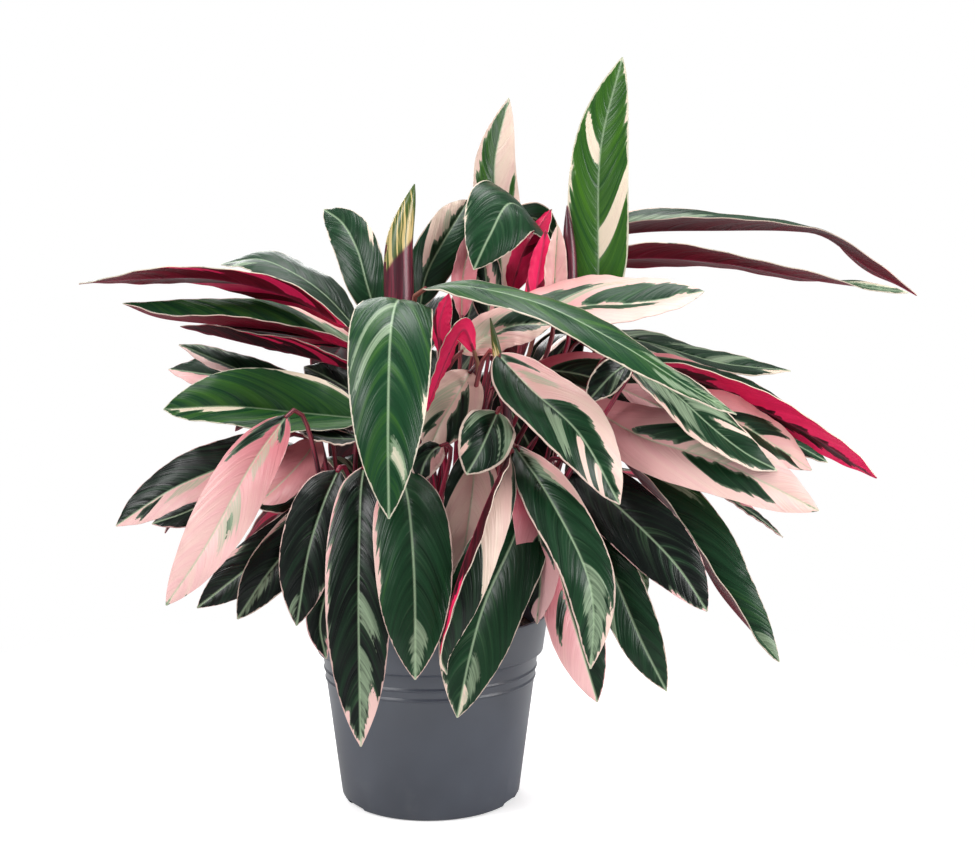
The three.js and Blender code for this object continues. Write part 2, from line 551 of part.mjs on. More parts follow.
function potMesh() {
  const ring = (z) => [
    [bodyRadius(z - RING_HALF_WIDTH), z - RING_HALF_WIDTH],
    [bodyRadius(z) + RING_RELIEF, z - RING_FLAT],
    [bodyRadius(z) + RING_RELIEF, z + RING_FLAT],
    [bodyRadius(z + RING_HALF_WIDTH), z + RING_HALF_WIDTH],
  ];
  const rimFootRadius = SHOULDER_RADIUS + RIM_STEP;
  const outside = [
    [0, 0],
    [FOOT_RADIUS - FOOT_ROUND, 0],
    [FOOT_RADIUS - FOOT_BEVEL, FOOT_BEVEL],
    [bodyRadius(FOOT_ROUND), FOOT_ROUND],
    ...RING_HEIGHTS.flatMap(ring),
    [bodyRadius(RIM_FOOT - WALL), RIM_FOOT - WALL],
    [rimFootRadius, RIM_FOOT],
    [RIM_RADIUS, POT_HEIGHT - RIM_EDGE],
    [RIM_RADIUS - RIM_EDGE / 3, POT_HEIGHT],
  ];
  const inside = [
    [RIM_RADIUS - WALL, POT_HEIGHT],
    [rimFootRadius - WALL, RIM_FOOT + WALL],
    [SHOULDER_RADIUS - WALL, RIM_FOOT - WALL],
    [FOOT_RADIUS - WALL, WALL + FOOT_ROUND / 2],
    [FOOT_RADIUS - WALL - FOOT_ROUND, WALL],
    [0, WALL],
  ];
  let made = solid(turned([...outside, ...inside], POT_SIDES));
  for (const angle of NOTCH_ANGLES) {
    const notch = new THREE.BoxGeometry(4 * WALL, NOTCH_WIDTH, 2 * NOTCH_HEIGHT);
    notch.translate(FOOT_RADIUS, 0, 0);
    notch.rotateZ(radians(angle));
    made = made.subtract(solid(notch));
  }
  return mesh("pot", geometryOf(made), POT_LOOK);
}

// Height of the crumbly soil surface above SOIL_TOP: broad heaps with finer ones across them.
function crumbs(x, y) {
  const heaps = Math.sin(HEAP_PITCH * x) * Math.cos(HEAP_PITCH * y);
  const fine = Math.sin(LUMP_PITCH * (x - y)) * Math.cos(LUMP_PITCH * (x + y));
  return CRUMB_HEIGHT * (heaps + fine) / 2;
}

function soilMesh() {
  const shoulder = SHOULDER_RADIUS - WALL - CLEARANCE;
  const foot = FOOT_RADIUS - WALL - CLEARANCE;
  const floor = WALL + CLEARANCE;
  const profile = [
    [0, floor],
    [foot - FOOT_ROUND, floor],
    [foot, floor + FOOT_ROUND],
    [shoulder - CLEARANCE, RIM_FOOT - WALL],
    [shoulder + RIM_STEP / 2, RIM_FOOT + WALL],
    [shoulder + RIM_STEP, SOIL_TOP - WALL],
  ];
  for (let ring = SOIL_RINGS; ring >= 0; ring--) {
    profile.push([(shoulder + RIM_STEP) * ring / SOIL_RINGS, SOIL_TOP]);
  }
  const ground = turned(profile, POT_SIDES);
  const places = ground.attributes.position;
  for (let i = 0; i < places.count; i++) {
    if (places.getZ(i) > SOIL_TOP - 1) {
      places.setZ(i, SOIL_TOP + crumbs(places.getX(i), places.getY(i)));
    }
  }
  let made = solid(ground);
  for (const [, [x, y]] of SHOOTS) {
    const depth = SOIL_TOP + HOLE_OVERSHOOT - CANE_ROOT + CLEARANCE;
    const radius = CANE_RADIUS + CLEARANCE;
    const hole = new THREE.CylinderGeometry(radius, radius, depth, CANE_SIDES);
    hole.rotateX(Math.PI / 2);
    hole.translate(x, y, CANE_ROOT - CLEARANCE + depth / 2);
    made = made.subtract(solid(hole));
  }
  return mesh("soil", geometryOf(made), SOIL_LOOK);
}

const plant = new THREE.Group();
plant.add(potMesh(), soilMesh(), ...SHOOTS.map(shootMesh));
export default plant;
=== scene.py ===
"""Looks, light and camera for a Stromanthe Triostar in its grey nursery pot.

Lengths are in millimetres, also where a leaf's surface carries them. Meshes, the floor and the lights are
in metres. +Z is up and the front is towards -Y.
"""

import math
import random

import bpy
import numpy as np
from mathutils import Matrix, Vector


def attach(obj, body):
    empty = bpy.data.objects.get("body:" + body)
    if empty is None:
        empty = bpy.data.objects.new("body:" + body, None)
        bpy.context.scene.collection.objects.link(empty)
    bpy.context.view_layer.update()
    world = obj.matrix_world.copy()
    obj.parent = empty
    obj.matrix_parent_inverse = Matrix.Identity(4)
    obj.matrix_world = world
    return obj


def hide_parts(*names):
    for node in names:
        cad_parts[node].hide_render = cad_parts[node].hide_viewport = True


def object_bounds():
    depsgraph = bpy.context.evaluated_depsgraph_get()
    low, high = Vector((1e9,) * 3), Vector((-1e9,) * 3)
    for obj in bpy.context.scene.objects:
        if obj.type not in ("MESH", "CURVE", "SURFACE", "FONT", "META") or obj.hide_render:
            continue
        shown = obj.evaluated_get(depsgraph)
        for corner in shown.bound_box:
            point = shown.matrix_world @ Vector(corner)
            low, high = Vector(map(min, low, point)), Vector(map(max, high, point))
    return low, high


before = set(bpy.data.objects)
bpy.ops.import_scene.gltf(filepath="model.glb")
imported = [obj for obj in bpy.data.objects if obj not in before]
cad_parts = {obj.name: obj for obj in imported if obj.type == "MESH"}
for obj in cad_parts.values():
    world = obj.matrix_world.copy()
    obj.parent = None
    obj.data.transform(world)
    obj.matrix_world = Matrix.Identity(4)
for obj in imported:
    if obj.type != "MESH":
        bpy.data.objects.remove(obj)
CAD_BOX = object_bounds()
bpy.ops.object.select_all(action="DESELECT")
MM = 0.001
BOX_MARGIN = 0.5
LEAST = np.array(CAD_BOX[0]) / MM + BOX_MARGIN
MOST = np.array(CAD_BOX[1]) / MM - BOX_MARGIN

# Pot. Corners are given as how far in from the foot's edge, and how high.
POT_HEIGHT = 150
WALL = 2.2
FOOT_RADIUS = 71.5
FOOT_CORNER = ((3, 0), (1.2, 0.9))
FOOT_CORNER_TOP = 4
INNER_CORNER = (3, 2)
SHOULDER_RADIUS = 87
SHOULDER_START = 3
SHOULDER_BEND = (1.2, 1)
RIM_FOOT = 119
RIM_STEP = 4
RIM_RADIUS = 95
RIM_FOOT_ROUND = 1
RIM_ROUND = 1.1
RING_HEIGHTS = (98, 106)
RING_RELIEF = 0.9
RING_HALF_HEIGHT = 1.6
RING_ROUND_AT = 0.9
RING_ROUND_SHARE = 0.6
NOTCH_ANGLES = (95, 215, 335)
NOTCH_WIDTH = 22
NOTCH_HEIGHT = 4
POT_SIDES = 120
POT_SHARP_ANGLE = 32

# Soil
SOIL_TOP = 133
SOIL_GAP = 0.5
SOIL_CORNER = 4
SOIL_EDGE = 2
AXIS_RADIUS = 0.01
SOIL_SIDES = 96
SOIL_RINGS = 26
SOIL_SHARP_ANGLE = 50
HEAP_HEIGHT = 2.2
HEAP_PITCH = 0.21
LUMP_PITCH = 0.55
GRIT_PITCH = 1.9
GRIT_SHARE = 0.25
CRUMB_COUNT = 260
CRUMB_SEED = 11
CRUMB_SIZES = ((0.9, 2.6), (0.9, 2.2), (0.7, 1.5))
CRUMB_LUMPS = 0.25
CRUMB_LUMP_PITCHES = (5, 7)
CRUMB_SPIN_PITCH = 9

# Canes and leaf stalks. Places along them are shares of their length.
CANE_RADIUS = 6.5
CANE_FOOT = 96
CANE_TAPER = 0.75
CANE_SLIMNESS = 0.9
CANE_RINGS = 3
CANE_RING_RELIEF = 0.06
CANE_RING_REACH = 0.08
CANE_ROUND_END = 1.04
CANE_ROUND_REACH = 0.12
CANE_LEAST_ROUND = 0.15
CANE_KIND = (0.4, 0.4)
STALK_FOOT_RADIUS = 2.4
STALK_NECK_RADIUS = 1.6
STALK_OFFSET = 3
STALK_LEAD = 35
STALK_LEAD_SHARE = 0.33
STALK_SINK = 12
STALK_POINTS = 9
STALK_INTO_BLADE = 2
SHEATH_THICKNESS = 1.5
SHEATH_END = 0.5
SHEATH_FADE = 0.05
SWELLING = 0.35
SWELLING_AT = 0.94
SWELLING_REACH = 0.05
TUBE_SIDES = 10
TUBE_ROWS = 18
STEM_SHARP_ANGLE = 55

# Blades. Places along them are shares of their length, and across them of their half width.
BLADE_THICKNESS = 0.7
BLADE_COLUMNS = 24
BLADE_ROWS = 60
COLUMN_CROWDING = 1.25
ROW_CROWDING = 0.045
NECK_HALF_WIDTH = 2
NECK_END = 0.01
TIP_HALF_WIDTH = 0.4
WIDEST_AT = 0.42
NECK_ROUNDNESS = 0.62
TIP_FULLNESS = 2.6
TIP_SHARPNESS = 0.9
PUFF = 0.07
WAVE_HEIGHT = 1.3
WAVES = 2.3
WAVE_SHIFT = 0.37
WAVE_SLANT = 0.15
FULL_WAVE_HALF_WIDTH = 15
RIPPLE_HEIGHT = 0.35
RIPPLES = 9
RIPPLE_SHIFT = 1.7
RIPPLE_SLANT = 0.2
GROOVE_DEPTH = 0.7
GROOVE_HALF_WIDTH = 1.5
FACING_AT = 0.6
LINE_STEPS = 201
SPINE_ROWS = 21
SPEAR_START = 0.12
SPEAR_LIP = 0.14

# Markings of the blades
VEIN_SWEEP = 1.8
VEIN_START = 0.45
VEIN_BEND = 0.9
MARGIN = 0.7
OUTSIDE = -30.0
# Painted shade and red light through the leaf turn the pale parts crimson near the stalk, fading over this
# reach in mm along the blade
SHADE_AND_BACKLIGHT_REACH = (5, 120)
SEED_SPAN = 997
TONE_DRIFT = 0.8
ROSY_DRIFT = 0.9
VEIN_SHARE = 0.32
BLUSH_SHARE = 0.16
SAGE_SHARE = 0.74
MARGIN_SHARE = 0.8
MIDRIB_SHARE = 0.6
STREAK_RELIEF = 1.6
QUILT_RELIEF = 1.3

# Room and camera, in metres but for the camera's place. A light has a place, a size and a power.
FLOOR_SIZE = 14
FLOOR_DROP = 0.0003
FLOOR_GREY = 212
FLOOR_GLOW = 0.45
FLOOR_FADE = (0.16, 0.7)
ROOM_LIGHT = 0.32
LIGHTS = {
    "key": ((-1.5, -1.3, 1.9), (0.05, 0, 0.3), 1.1, 50),
    "fill": ((2.0, -0.8, 1.0), (0.05, 0, 0.25), 1.1, 40),
    "top": ((0.2, 0.3, 2.3), (0.05, 0, 0.3), 1.2, 34),
    "back": ((-0.5, 2.1, 1.3), (0.05, 0, 0.3), 1.4, 34),
}
CAMERA_PLACE = (46, -1096.5, 387.6)
CAMERA_PITCH = 4.6
CAMERA_LENS = 50.77


def blade(name, width, fold, facing, stalk, spine, roll=(0,), rolled=False):
    """A leaf blade: its upper side looks the way of facing, its stalk bends towards the point stalk, and
    its midrib runs through the spine. fold lifts both halves and roll turns the blade, in degrees."""
    return dict(
        name=name, width=width, fold=fold, facing=facing, stalk=stalk, spine=spine, roll=roll, rolled=rolled
    )


def spear(name, width, facing, stalk, spine):
    """A young leaf, still rolled up."""
    return blade(name, width, 0, facing, stalk, spine, rolled=True)


# Each leafy stem: the cane's x, y and top, and its leaves from stalk to tip, as the CAD source places them.
SHOOTS = {}
SHOOTS["left_high"] = ((-40, 14, 175), [
    blade("arch_back", 37, 4, (-0.25, -0.77, 0.59), (-42, 21, 298),
        [(-43, 29, 381), (-52, 29, 411), (-61, 43, 440), (-75, 65, 463), (-94, 93, 477)]),
    blade("left_high_green", 54, -4, (0.25, -0.47, 0.85), (-52, 36, 295),
        [(-64, 58, 376), (-90, 67, 403), (-116, 74, 421), (-148, 81, 434), (-182, 87, 430)]),
    blade("left_red", 42, 4, (-0.03, 0.33, 0.94), (-53, 5, 296),
        [(-66, -4, 377), (-109, -12, 401), (-166, -21, 415), (-223, -27, 415),
         (-270, -29, 411)], (6, 6, 3, -5, -13)),
    blade("left_long_green", 52, 36, (0.14, -0.35, 0.93), (-47, 9, 284),
        [(-54, 5, 358), (-111, -4, 374), (-168, -14, 380), (-210, -19, 385), (-238, -22, 396)]),
    blade("left_dark_red", 44, 14, (0.18, 0.29, 0.94), (-48, 15, 273),
        [(-55, 15, 341), (-104, 6, 355), (-151, 1, 366), (-198, -2, 378)]),
    blade("left_dark_b", 32, 14, (0.07, 0.5, 0.87), (-47, 24, 283),
        [(-54, 35, 357), (-91, 32, 367), (-136, 28, 374), (-177, 26, 377)]),
    blade("inner_left", 40, 6, (0.08, -0.65, 0.75), (-43, 21, 255),
        [(-47, 27, 311), (-68, 38, 325), (-88, 42, 336), (-107, 51, 344)]),
])
SHOOTS["left_mid"] = ((-60, -6, 172), [
    blade("left_thin", 36, 12, (0.36, -0.53, 0.77), (-70, 13, 258),
        [(-81, 36, 317), (-131, 30, 332), (-167, 22, 347), (-204, 19, 363)]),
    blade("left_small", 47, 8, (0.13, -0.59, 0.8), (-89, 17, 257),
        [(-118, 46, 317), (-158, 47, 333), (-189, 45, 338), (-219, 46, 342)]),
    blade("left_broad", 64, 28, (0.06, -0.81, 0.58), (-54, -30, 252),
        [(-50, -36, 307), (-100, -28, 311), (-151, -45, 317), (-202, -47, 315)]),
    blade("left_sliver", 24, 10, (0.12, -0.43, 0.89), (-54, -26, 242),
        [(-47, -47, 292), (-75, -46, 293), (-99, -43, 298)]),
])
SHOOTS["left_low"] = ((-62, -32, 168), [
    blade("left_low_pink", 49, 8, (-0.19, -0.77, 0.61), (-88, -25, 240),
        [(-113, -19, 292), (-156, -30, 271), (-199, -38, 252), (-242, -40, 224)]),
    blade("left_low_under", 38, 6, (-0.2, -0.74, 0.64), (-99, -10, 226),
        [(-137, 12, 268), (-168, 4, 245), (-194, -2, 230), (-223, -4, 220)]),
    blade("pink_hang", 43, 4, (-0.01, -0.95, 0.3), (-84, -49, 252),
        [(-104, -73, 312), (-127, -99, 277), (-156, -119, 222), (-184, -126, 180)]),
    blade("peach_behind", 38, 6, (-0.19, -0.85, 0.5), (-74, -35, 240),
        [(-87, -25, 290), (-99, -36, 273), (-114, -44, 257), (-131, -47, 242)]),
    blade("left_mid_dark", 38, 6, (-0.12, -0.67, 0.73), (-65, -15, 212),
        [(-67, -10, 248), (-94, -16, 246), (-114, -23, 242), (-136, -25, 237)]),
])
SHOOTS["left_hang"] = ((-42, -54, 165), [
    blade("low_left_a", 37, 6, (0.05, -0.96, 0.26), (-63, -37, 210),
        [(-84, -28, 246), (-103, -51, 220), (-134, -64, 197), (-174, -69, 166)]),
    blade("low_left_b", 38, 6, (0.08, -0.93, 0.36), (-60, -51, 210),
        [(-78, -52, 246), (-94, -80, 223), (-116, -95, 197), (-138, -99, 164)]),
    blade("low_left_c", 43, 4, (0.15, -0.95, 0.28), (-54, -59, 226),
        [(-67, -65, 270), (-74, -96, 250), (-83, -117, 217), (-91, -125, 165)]),
    blade("low_left_d", 24, 12, (-0.23, -0.96, 0.18), (-55, -60, 197),
        [(-67, -66, 208), (-74, -86, 181), (-78, -92, 158), (-73, -98, 134)]),
])
SHOOTS["front_left"] = ((-14, -66, 168), [
    blade("front_hang_a", 47, 6, (-0.01, -0.98, 0.18), (-30, -74, 229),
        [(-46, -82, 274), (-46, -112, 250), (-45, -140, 180), (-43, -152, 85)]),
    blade("front_hang_b", 55, -4, (0.05, -0.96, 0.27), (-16, -77, 229),
        [(-18, -92, 274), (-10, -126, 252), (-5, -150, 203), (-4, -160, 135)]),
    blade("centre_nub", 22, 0, (-0.03, -0.93, 0.36), (1, -76, 239),
        [(12, -85, 291), (6, -93, 288), (0, -98, 279), (-4, -98, 265)]),
])
SHOOTS["front_mid"] = ((14, -60, 170), [
    blade("front_pink", 42, 8, (0.17, -0.96, 0.23), (26, -64, 238),
        [(37, -72, 288), (35, -95, 259), (30, -108, 224), (23, -115, 182)]),
])
SHOOTS["front_right"] = ((37, -58, 168), [
    blade("front_fold", 44, (44, 44, 44, 44, 20), (0.84, -0.53, -0.09), (49, -82, 237),
        [(61, -107, 286), (42, -146, 248), (24, -168, 201), (14, -174, 159), (18, -173, 142)]),
    blade("front_low", 58, 4, (-0.11, -0.94, 0.31), (56, -72, 218),
        [(76, -88, 257), (64, -121, 226), (45, -140, 187), (34, -149, 150), (25, -156, 107)]),
    blade("front_burnt", 34, 10, (-0.22, -0.94, 0.27), (54, -76, 236),
        [(71, -91, 285), (81, -115, 244), (84, -130, 206), (81, -137, 169)]),
    blade("front_twin", 40, 6, (0.09, -0.95, 0.31), (65, -79, 198),
        [(93, -100, 223), (102, -121, 187), (112, -134, 153), (124, -139, 113)]),
    blade("centre_small", 40, 8, (0.16, -0.88, 0.45), (45, -72, 255),
        [(53, -93, 316), (48, -108, 306), (41, -119, 291), (31, -124, 274)]),
    blade("mid_long", 41, 4, (0.18, -0.86, 0.47), (52, -72, 239),
        [(66, -86, 291), (89, -125, 259), (112, -153, 216), (119, -161, 184), (117, -165, 144)]),
])
SHOOTS["big_front"] = ((-20, -26, 180), [
    blade("pale_lean", 39, 8, (0.47, -0.79, 0.38), (-14, 1, 308),
        [(-9, 28, 394), (-3, 32, 422), (13, 44, 453), (30, 77, 484)]),
    spear("spear_left", 23, (0.08, -0.99, 0.07), (-23, -14, 292),
        [(-25, -3, 367), (-25, 2, 402), (-24, 6, 447), (-12, 9, 491)]),
    blade("red_sheath", 18, 20, (0.44, 0.88, -0.19), (-5, -26, 286),
        [(9, -25, 358), (9, -23, 382), (16, -22, 404)]),
    blade("front_big", 60, -8, (0.07, -0.89, 0.44), (-17, -20, 286),
        [(-14, -37, 360), (-19, -66, 398), (-23, -110, 378), (-23, -145, 315), (-22, -157, 247)]),
])
SHOOTS["centre"] = ((16, 20, 185), [
    blade("tall", 50, 10, (-0.07, -1, 0), (76, 25, 294),
        [(136, 31, 368), (136, 26, 430), (137, 25, 519), (154, 24, 593)], (-5, 3)),
    blade("rosy_upright", 41, 12, (0.23, -0.97, 0.08), (38, 44, 304),
        [(61, 68, 385), (56, 81, 455), (52, 84, 514), (64, 92, 571)]),
    blade("hood", 64, -6, (0.37, -0.66, 0.66), (57, 62, 334),
        [(98, 104, 433), (85, 74, 465), (64, 40, 478), (48, 16, 451), (35, 6, 423)]),
    blade("pale_slip", 22, 16, (0.4, -0.91, 0.12), (21, 19, 304),
        [(25, 19, 385), (26, 26, 419), (35, 35, 459)]),
    blade("striped_slip", 28, 12, (-0.2, -0.95, 0.24), (32, 25, 301),
        [(48, 30, 379), (45, 36, 417), (41, 46, 452)]),
    blade("rosy_slip", 22, 14, (0.35, 0.91, -0.21), (50, 14, 301),
        [(84, 8, 379), (86, 11, 412), (93, 19, 455)]),
    blade("crimson_fold", 30, 10, (0.44, 0.74, -0.5), (41, 32, 317),
        [(66, 45, 406), (76, 55, 438), (87, 73, 457), (100, 73, 476)]),
    blade("grey_slip", 20, 20, (0.22, -0.97, 0.12), (57, 10, 302),
        [(99, 3, 381), (100, 11, 421), (102, 11, 459)]),
    spear("spear_mid", 12, (-0.06, -0.99, 0.1), (65, 16, 298),
        [(112, 12, 375), (112, 18, 430), (110, 22, 475)]),
    blade("green_behind", 34, 6, (0.15, -0.8, -0.59), (37, 72, 341),
        [(59, 123, 435), (70, 134, 467), (89, 140, 473), (111, 143, 454)]),
    blade("inner_low", 44, 6, (-0.16, -0.98, 0.14), (36, 31, 266),
        [(56, 41, 323), (69, 34, 301), (81, 28, 278), (89, 24, 247)]),
    blade("back_c6", 46, 8, (0.2, 0.55, 0.81), (21, 51, 275),
        [(26, 61, 340), (39, 103, 384), (55, 150, 360), (76, 185, 322)]),
])
SHOOTS["cross"] = ((12, -28, 182), [
    blade("centre_white", 44, 6, (0.05, -0.92, 0.38), (22, -36, 278),
        [(33, -45, 344), (22, -58, 325), (11, -68, 306), (2, -73, 285)]),
    blade("centre_curl", 22, 10, (-0.9, 0.39, 0.21), (24, -41, 287),
        [(36, -53, 359), (28, -64, 376), (18, -75, 360), (9, -83, 338), (1, -87, 316)]),
    spear("spear_front", 8, (-0.02, -1, 0.07), (37, -51, 254),
        [(62, -73, 305), (57, -79, 335), (52, -71, 365), (48, -76, 385)]),
    blade("long_green", 45, -6, (0.33, -0.47, 0.82), (5, -41, 317),
        [(-2, -51, 407), (27, -75, 409), (84, -107, 395), (139, -125, 367),
         (188, -131, 336), (222, -127, 317)]),
    blade("right_pale", 75, 8, (-0.09, -0.5, 0.86), (35, -25, 306),
        [(58, -20, 389), (102, -22, 392), (133, -30, 395), (163, -34, 396), (212, -38, 405)]),
    blade("pale_under", 42, 4, (-0.05, -0.8, 0.6), (19, -35, 287),
        [(26, -41, 359), (45, -44, 371), (67, -49, 379), (95, -51, 380)]),
    blade("mid_white", 54, 4, (0.16, -0.77, 0.62), (33, -47, 287),
        [(54, -74, 358), (77, -101, 334), (111, -128, 303), (139, -136, 254)]),
])
SHOOTS["bars"] = ((46, 38, 180), [
    blade("bar_a", 56, (38, 38, 34, 20, 10, 10, 10), (0.04, -0.09, 0.99), (77, 54, 339),
        [(107, 70, 447), (175, 72, 457), (241, 65, 458), (298, 57, 457), (326, 50, 451),
         (357, 41, 427), (397, 32, 403)], (12, 12, 9, 4, -2, -19, -19)),
    blade("bar_b", 46, 6, (0.22, 0.17, 0.96), (74, 41, 328),
        [(102, 42, 426), (171, 41, 434), (240, 32, 429), (311, 21, 415),
         (384, 13, 405)], (-13, -13, -4, 6, 44)),
    blade("wavy_right", 40, 4, (0.24, -0.44, 0.86), (93, 53, 294),
        [(139, 68, 371), (184, 75, 363), (245, 80, 346), (306, 83, 339)]),
    blade("right_back", 40, 4, (0.32, -0.65, 0.69), (109, 37, 283),
        [(172, 36, 353), (223, 39, 333), (276, 43, 313), (322, 41, 291)]),
    blade("inner_right", 48, 6, (0.22, -0.97, 0.14), (61, 49, 235),
        [(75, 60, 277), (86, 71, 308), (100, 86, 343), (130, 97, 383)]),
    blade("back_c1", 50, 8, (0.49, 0.27, 0.83), (61, 44, 268),
        [(75, 49, 330), (112, 59, 368), (153, 79, 348), (181, 114, 314)]),
    blade("back_c3", 50, 8, (0.44, 0.1, 0.89), (72, 33, 214),
        [(98, 28, 226), (148, 37, 256), (204, 48, 236), (247, 68, 204)]),
    blade("back_c5", 46, 8, (0.6, 0.38, 0.7), (64, 47, 190),
        [(83, 56, 196), (115, 73, 222), (150, 92, 194), (174, 114, 148)]),
])
SHOOTS["right_mid"] = ((66, -4, 176), [
    blade("right_red", 46, 4, (0.53, 0.42, 0.73), (122, -4, 277),
        [(175, -28, 348), (214, -36, 335), (252, -42, 317), (294, -50, 295), (343, -54, 263)]),
    blade("right_cross", 44, 6, (0.31, -0.73, 0.6), (109, -23, 282),
        [(151, -55, 356), (184, -72, 330), (212, -85, 304), (235, -92, 286), (259, -91, 273)]),
    blade("right_mid", 42, 6, (0.28, -0.76, 0.59), (130, -25, 266),
        [(195, -46, 328), (238, -56, 305), (291, -63, 270)]),
    blade("right_mid_back", 38, 6, (0.36, -0.58, 0.73), (133, -16, 267),
        [(203, -12, 330), (253, -24, 305), (312, -27, 272)]),
    blade("right_big_pink", 57, 4, (0.03, -0.89, 0.46), (94, -26, 260),
        [(121, -49, 319), (162, -72, 296), (220, -89, 278), (289, -96, 244)]),
    blade("right_upper_pink", 46, 6, (0.05, -0.82, 0.57), (72, -10, 277),
        [(78, -16, 346), (122, -30, 340), (163, -43, 324), (199, -58, 305), (231, -63, 284)]),
    blade("right_thin", 13, 10, (0.48, -0.49, 0.73), (139, -4, 222),
        [(211, -3, 257), (252, -7, 233), (282, -9, 210)]),
])
SHOOTS["right_low"] = ((52, -40, 168), [
    blade("right_dark", 50, 4, (-0.06, -0.92, 0.39), (80, -47, 230),
        [(107, -54, 275), (150, -89, 239), (183, -106, 206), (206, -109, 172)]),
    blade("right_fold", 62, (45, 45, 45, 45, 20), (0.56, -0.57, 0.6), (93, -39, 244),
        [(133, -36, 298), (177, -58, 243), (203, -72, 209), (222, -84, 177), (263, -92, 130)]),
    blade("right_hang", 36, 6, (-0.03, -0.95, 0.32), (89, -58, 202),
        [(126, -76, 230), (139, -104, 196), (156, -122, 155), (175, -125, 117)]),
    blade("right_narrow", 17, 0, (0.32, -0.83, 0.45), (91, -43, 198),
        [(130, -46, 223), (148, -54, 206), (163, -57, 190), (168, -60, 176)]),
    blade("right_curl", 24, 14, (-0.03, -0.93, 0.36), (101, -76, 280),
        [(151, -80, 352), (137, -89, 343), (119, -95, 324)]),
])
SHOOTS["back_left"] = ((-52, 46, 172), [
    blade("back_a1", 50, 8, (-0.26, 0.4, 0.88), (-41, 50, 265),
        [(-29, 55, 330), (-59, 96, 372), (-92, 143, 351), (-105, 188, 318)]),
    blade("back_a2", 52, 8, (-0.31, 0.28, 0.91), (-57, 47, 247),
        [(-61, 48, 300), (-99, 84, 330), (-142, 124, 312), (-183, 147, 282)]),
    blade("back_a3", 48, 8, (-0.5, 0.12, 0.86), (-72, 38, 223),
        [(-92, 30, 262), (-139, 37, 279), (-193, 47, 243), (-230, 69, 201)]),
    blade("back_a4", 50, 8, (-0.46, 0.58, 0.68), (-54, 57, 205),
        [(-57, 67, 232), (-78, 100, 262), (-103, 135, 229), (-130, 159, 176)]),
    blade("back_a5", 42, 8, (-0.7, 0.35, 0.62), (-67, 45, 196),
        [(-81, 43, 205), (-112, 55, 232), (-146, 68, 201), (-169, 87, 150)]),
])
SHOOTS["back_mid"] = ((-14, 56, 175), [
    blade("inner_mid", 42, 6, (-0.07, -0.98, 0.21), (4, 45, 263),
        [(21, 45, 323), (23, 54, 353), (30, 61, 386), (43, 66, 425)]),
    blade("back_b1", 52, 8, (-0.05, 0.53, 0.85), (-12, 55, 280),
        [(-10, 54, 352), (-12, 104, 398), (-16, 160, 375), (-32, 203, 338)]),
    blade("back_b2", 50, 8, (0.02, 0.47, 0.88), (-3, 65, 255),
        [(8, 74, 312), (8, 124, 352), (9, 180, 332), (21, 224, 300)]),
    blade("back_b3", 54, 8, (-0.29, 0.66, 0.7), (-24, 71, 228),
        [(-34, 85, 268), (-54, 124, 304), (-76, 167, 270), (-85, 205, 214)]),
    blade("back_b4", 48, 8, (0, 0.82, 0.57), (-7, 78, 201),
        [(0, 100, 222), (4, 132, 240), (8, 169, 206), (2, 198, 150)]),
    blade("back_b5", 44, 8, (0.18, 0.71, 0.68), (6, 74, 197),
        [(26, 92, 205), (32, 122, 232), (38, 152, 208), (50, 180, 166)]),
])
SHOOTS["back_right"] = ((20, 66, 172), [
    blade("back_c2", 52, 8, (0.21, 0.45, 0.87), (31, 71, 244),
        [(42, 75, 296), (60, 120, 332), (81, 170, 311), (109, 205, 278)]),
    blade("back_c4", 50, 8, (0.46, 0.62, 0.64), (40, 71, 208),
        [(59, 76, 238), (78, 108, 262), (99, 144, 228), (126, 166, 172)]),
])


RIGHT, LEFT, BOTH = 1, -1, 0


def pale(side, start, end, inner=-0.1, outer=1.2):
    """A cream or pink mark between the side veins that leave the midrib at start and end of its length.

    It lies on the right or left half seen from above with the tip ahead, from inner to outer, which are
    parts of the way to the edge. Unless they are given, it reaches over the whole half."""
    return "pale", side, start, end, inner, outer


def sage(side, start, end, inner=-0.1, outer=1.2):
    """A grey-green mark, placed as a pale one is."""
    return "sage", side, start, end, inner, outer


def green(side, start, end, inner=-0.1, outer=1.2):
    """Ground colour left inside a pale mark."""
    return "green", side, start, end, inner, outer


ALL_PALE = pale(BOTH, -1, 2)
RIGHT_PALE = pale(RIGHT, -1, 2)
LEFT_PALE = pale(LEFT, -1, 2)


def look(tone, rosy, *marks, margin=MARGIN):
    """How a leaf is coloured: tone of its green from blackish to fresh, how pink its pale parts are,
    its marks and how wide its pale margin is."""
    return dict(tone=tone, rosy=rosy, marks=marks, margin=margin)


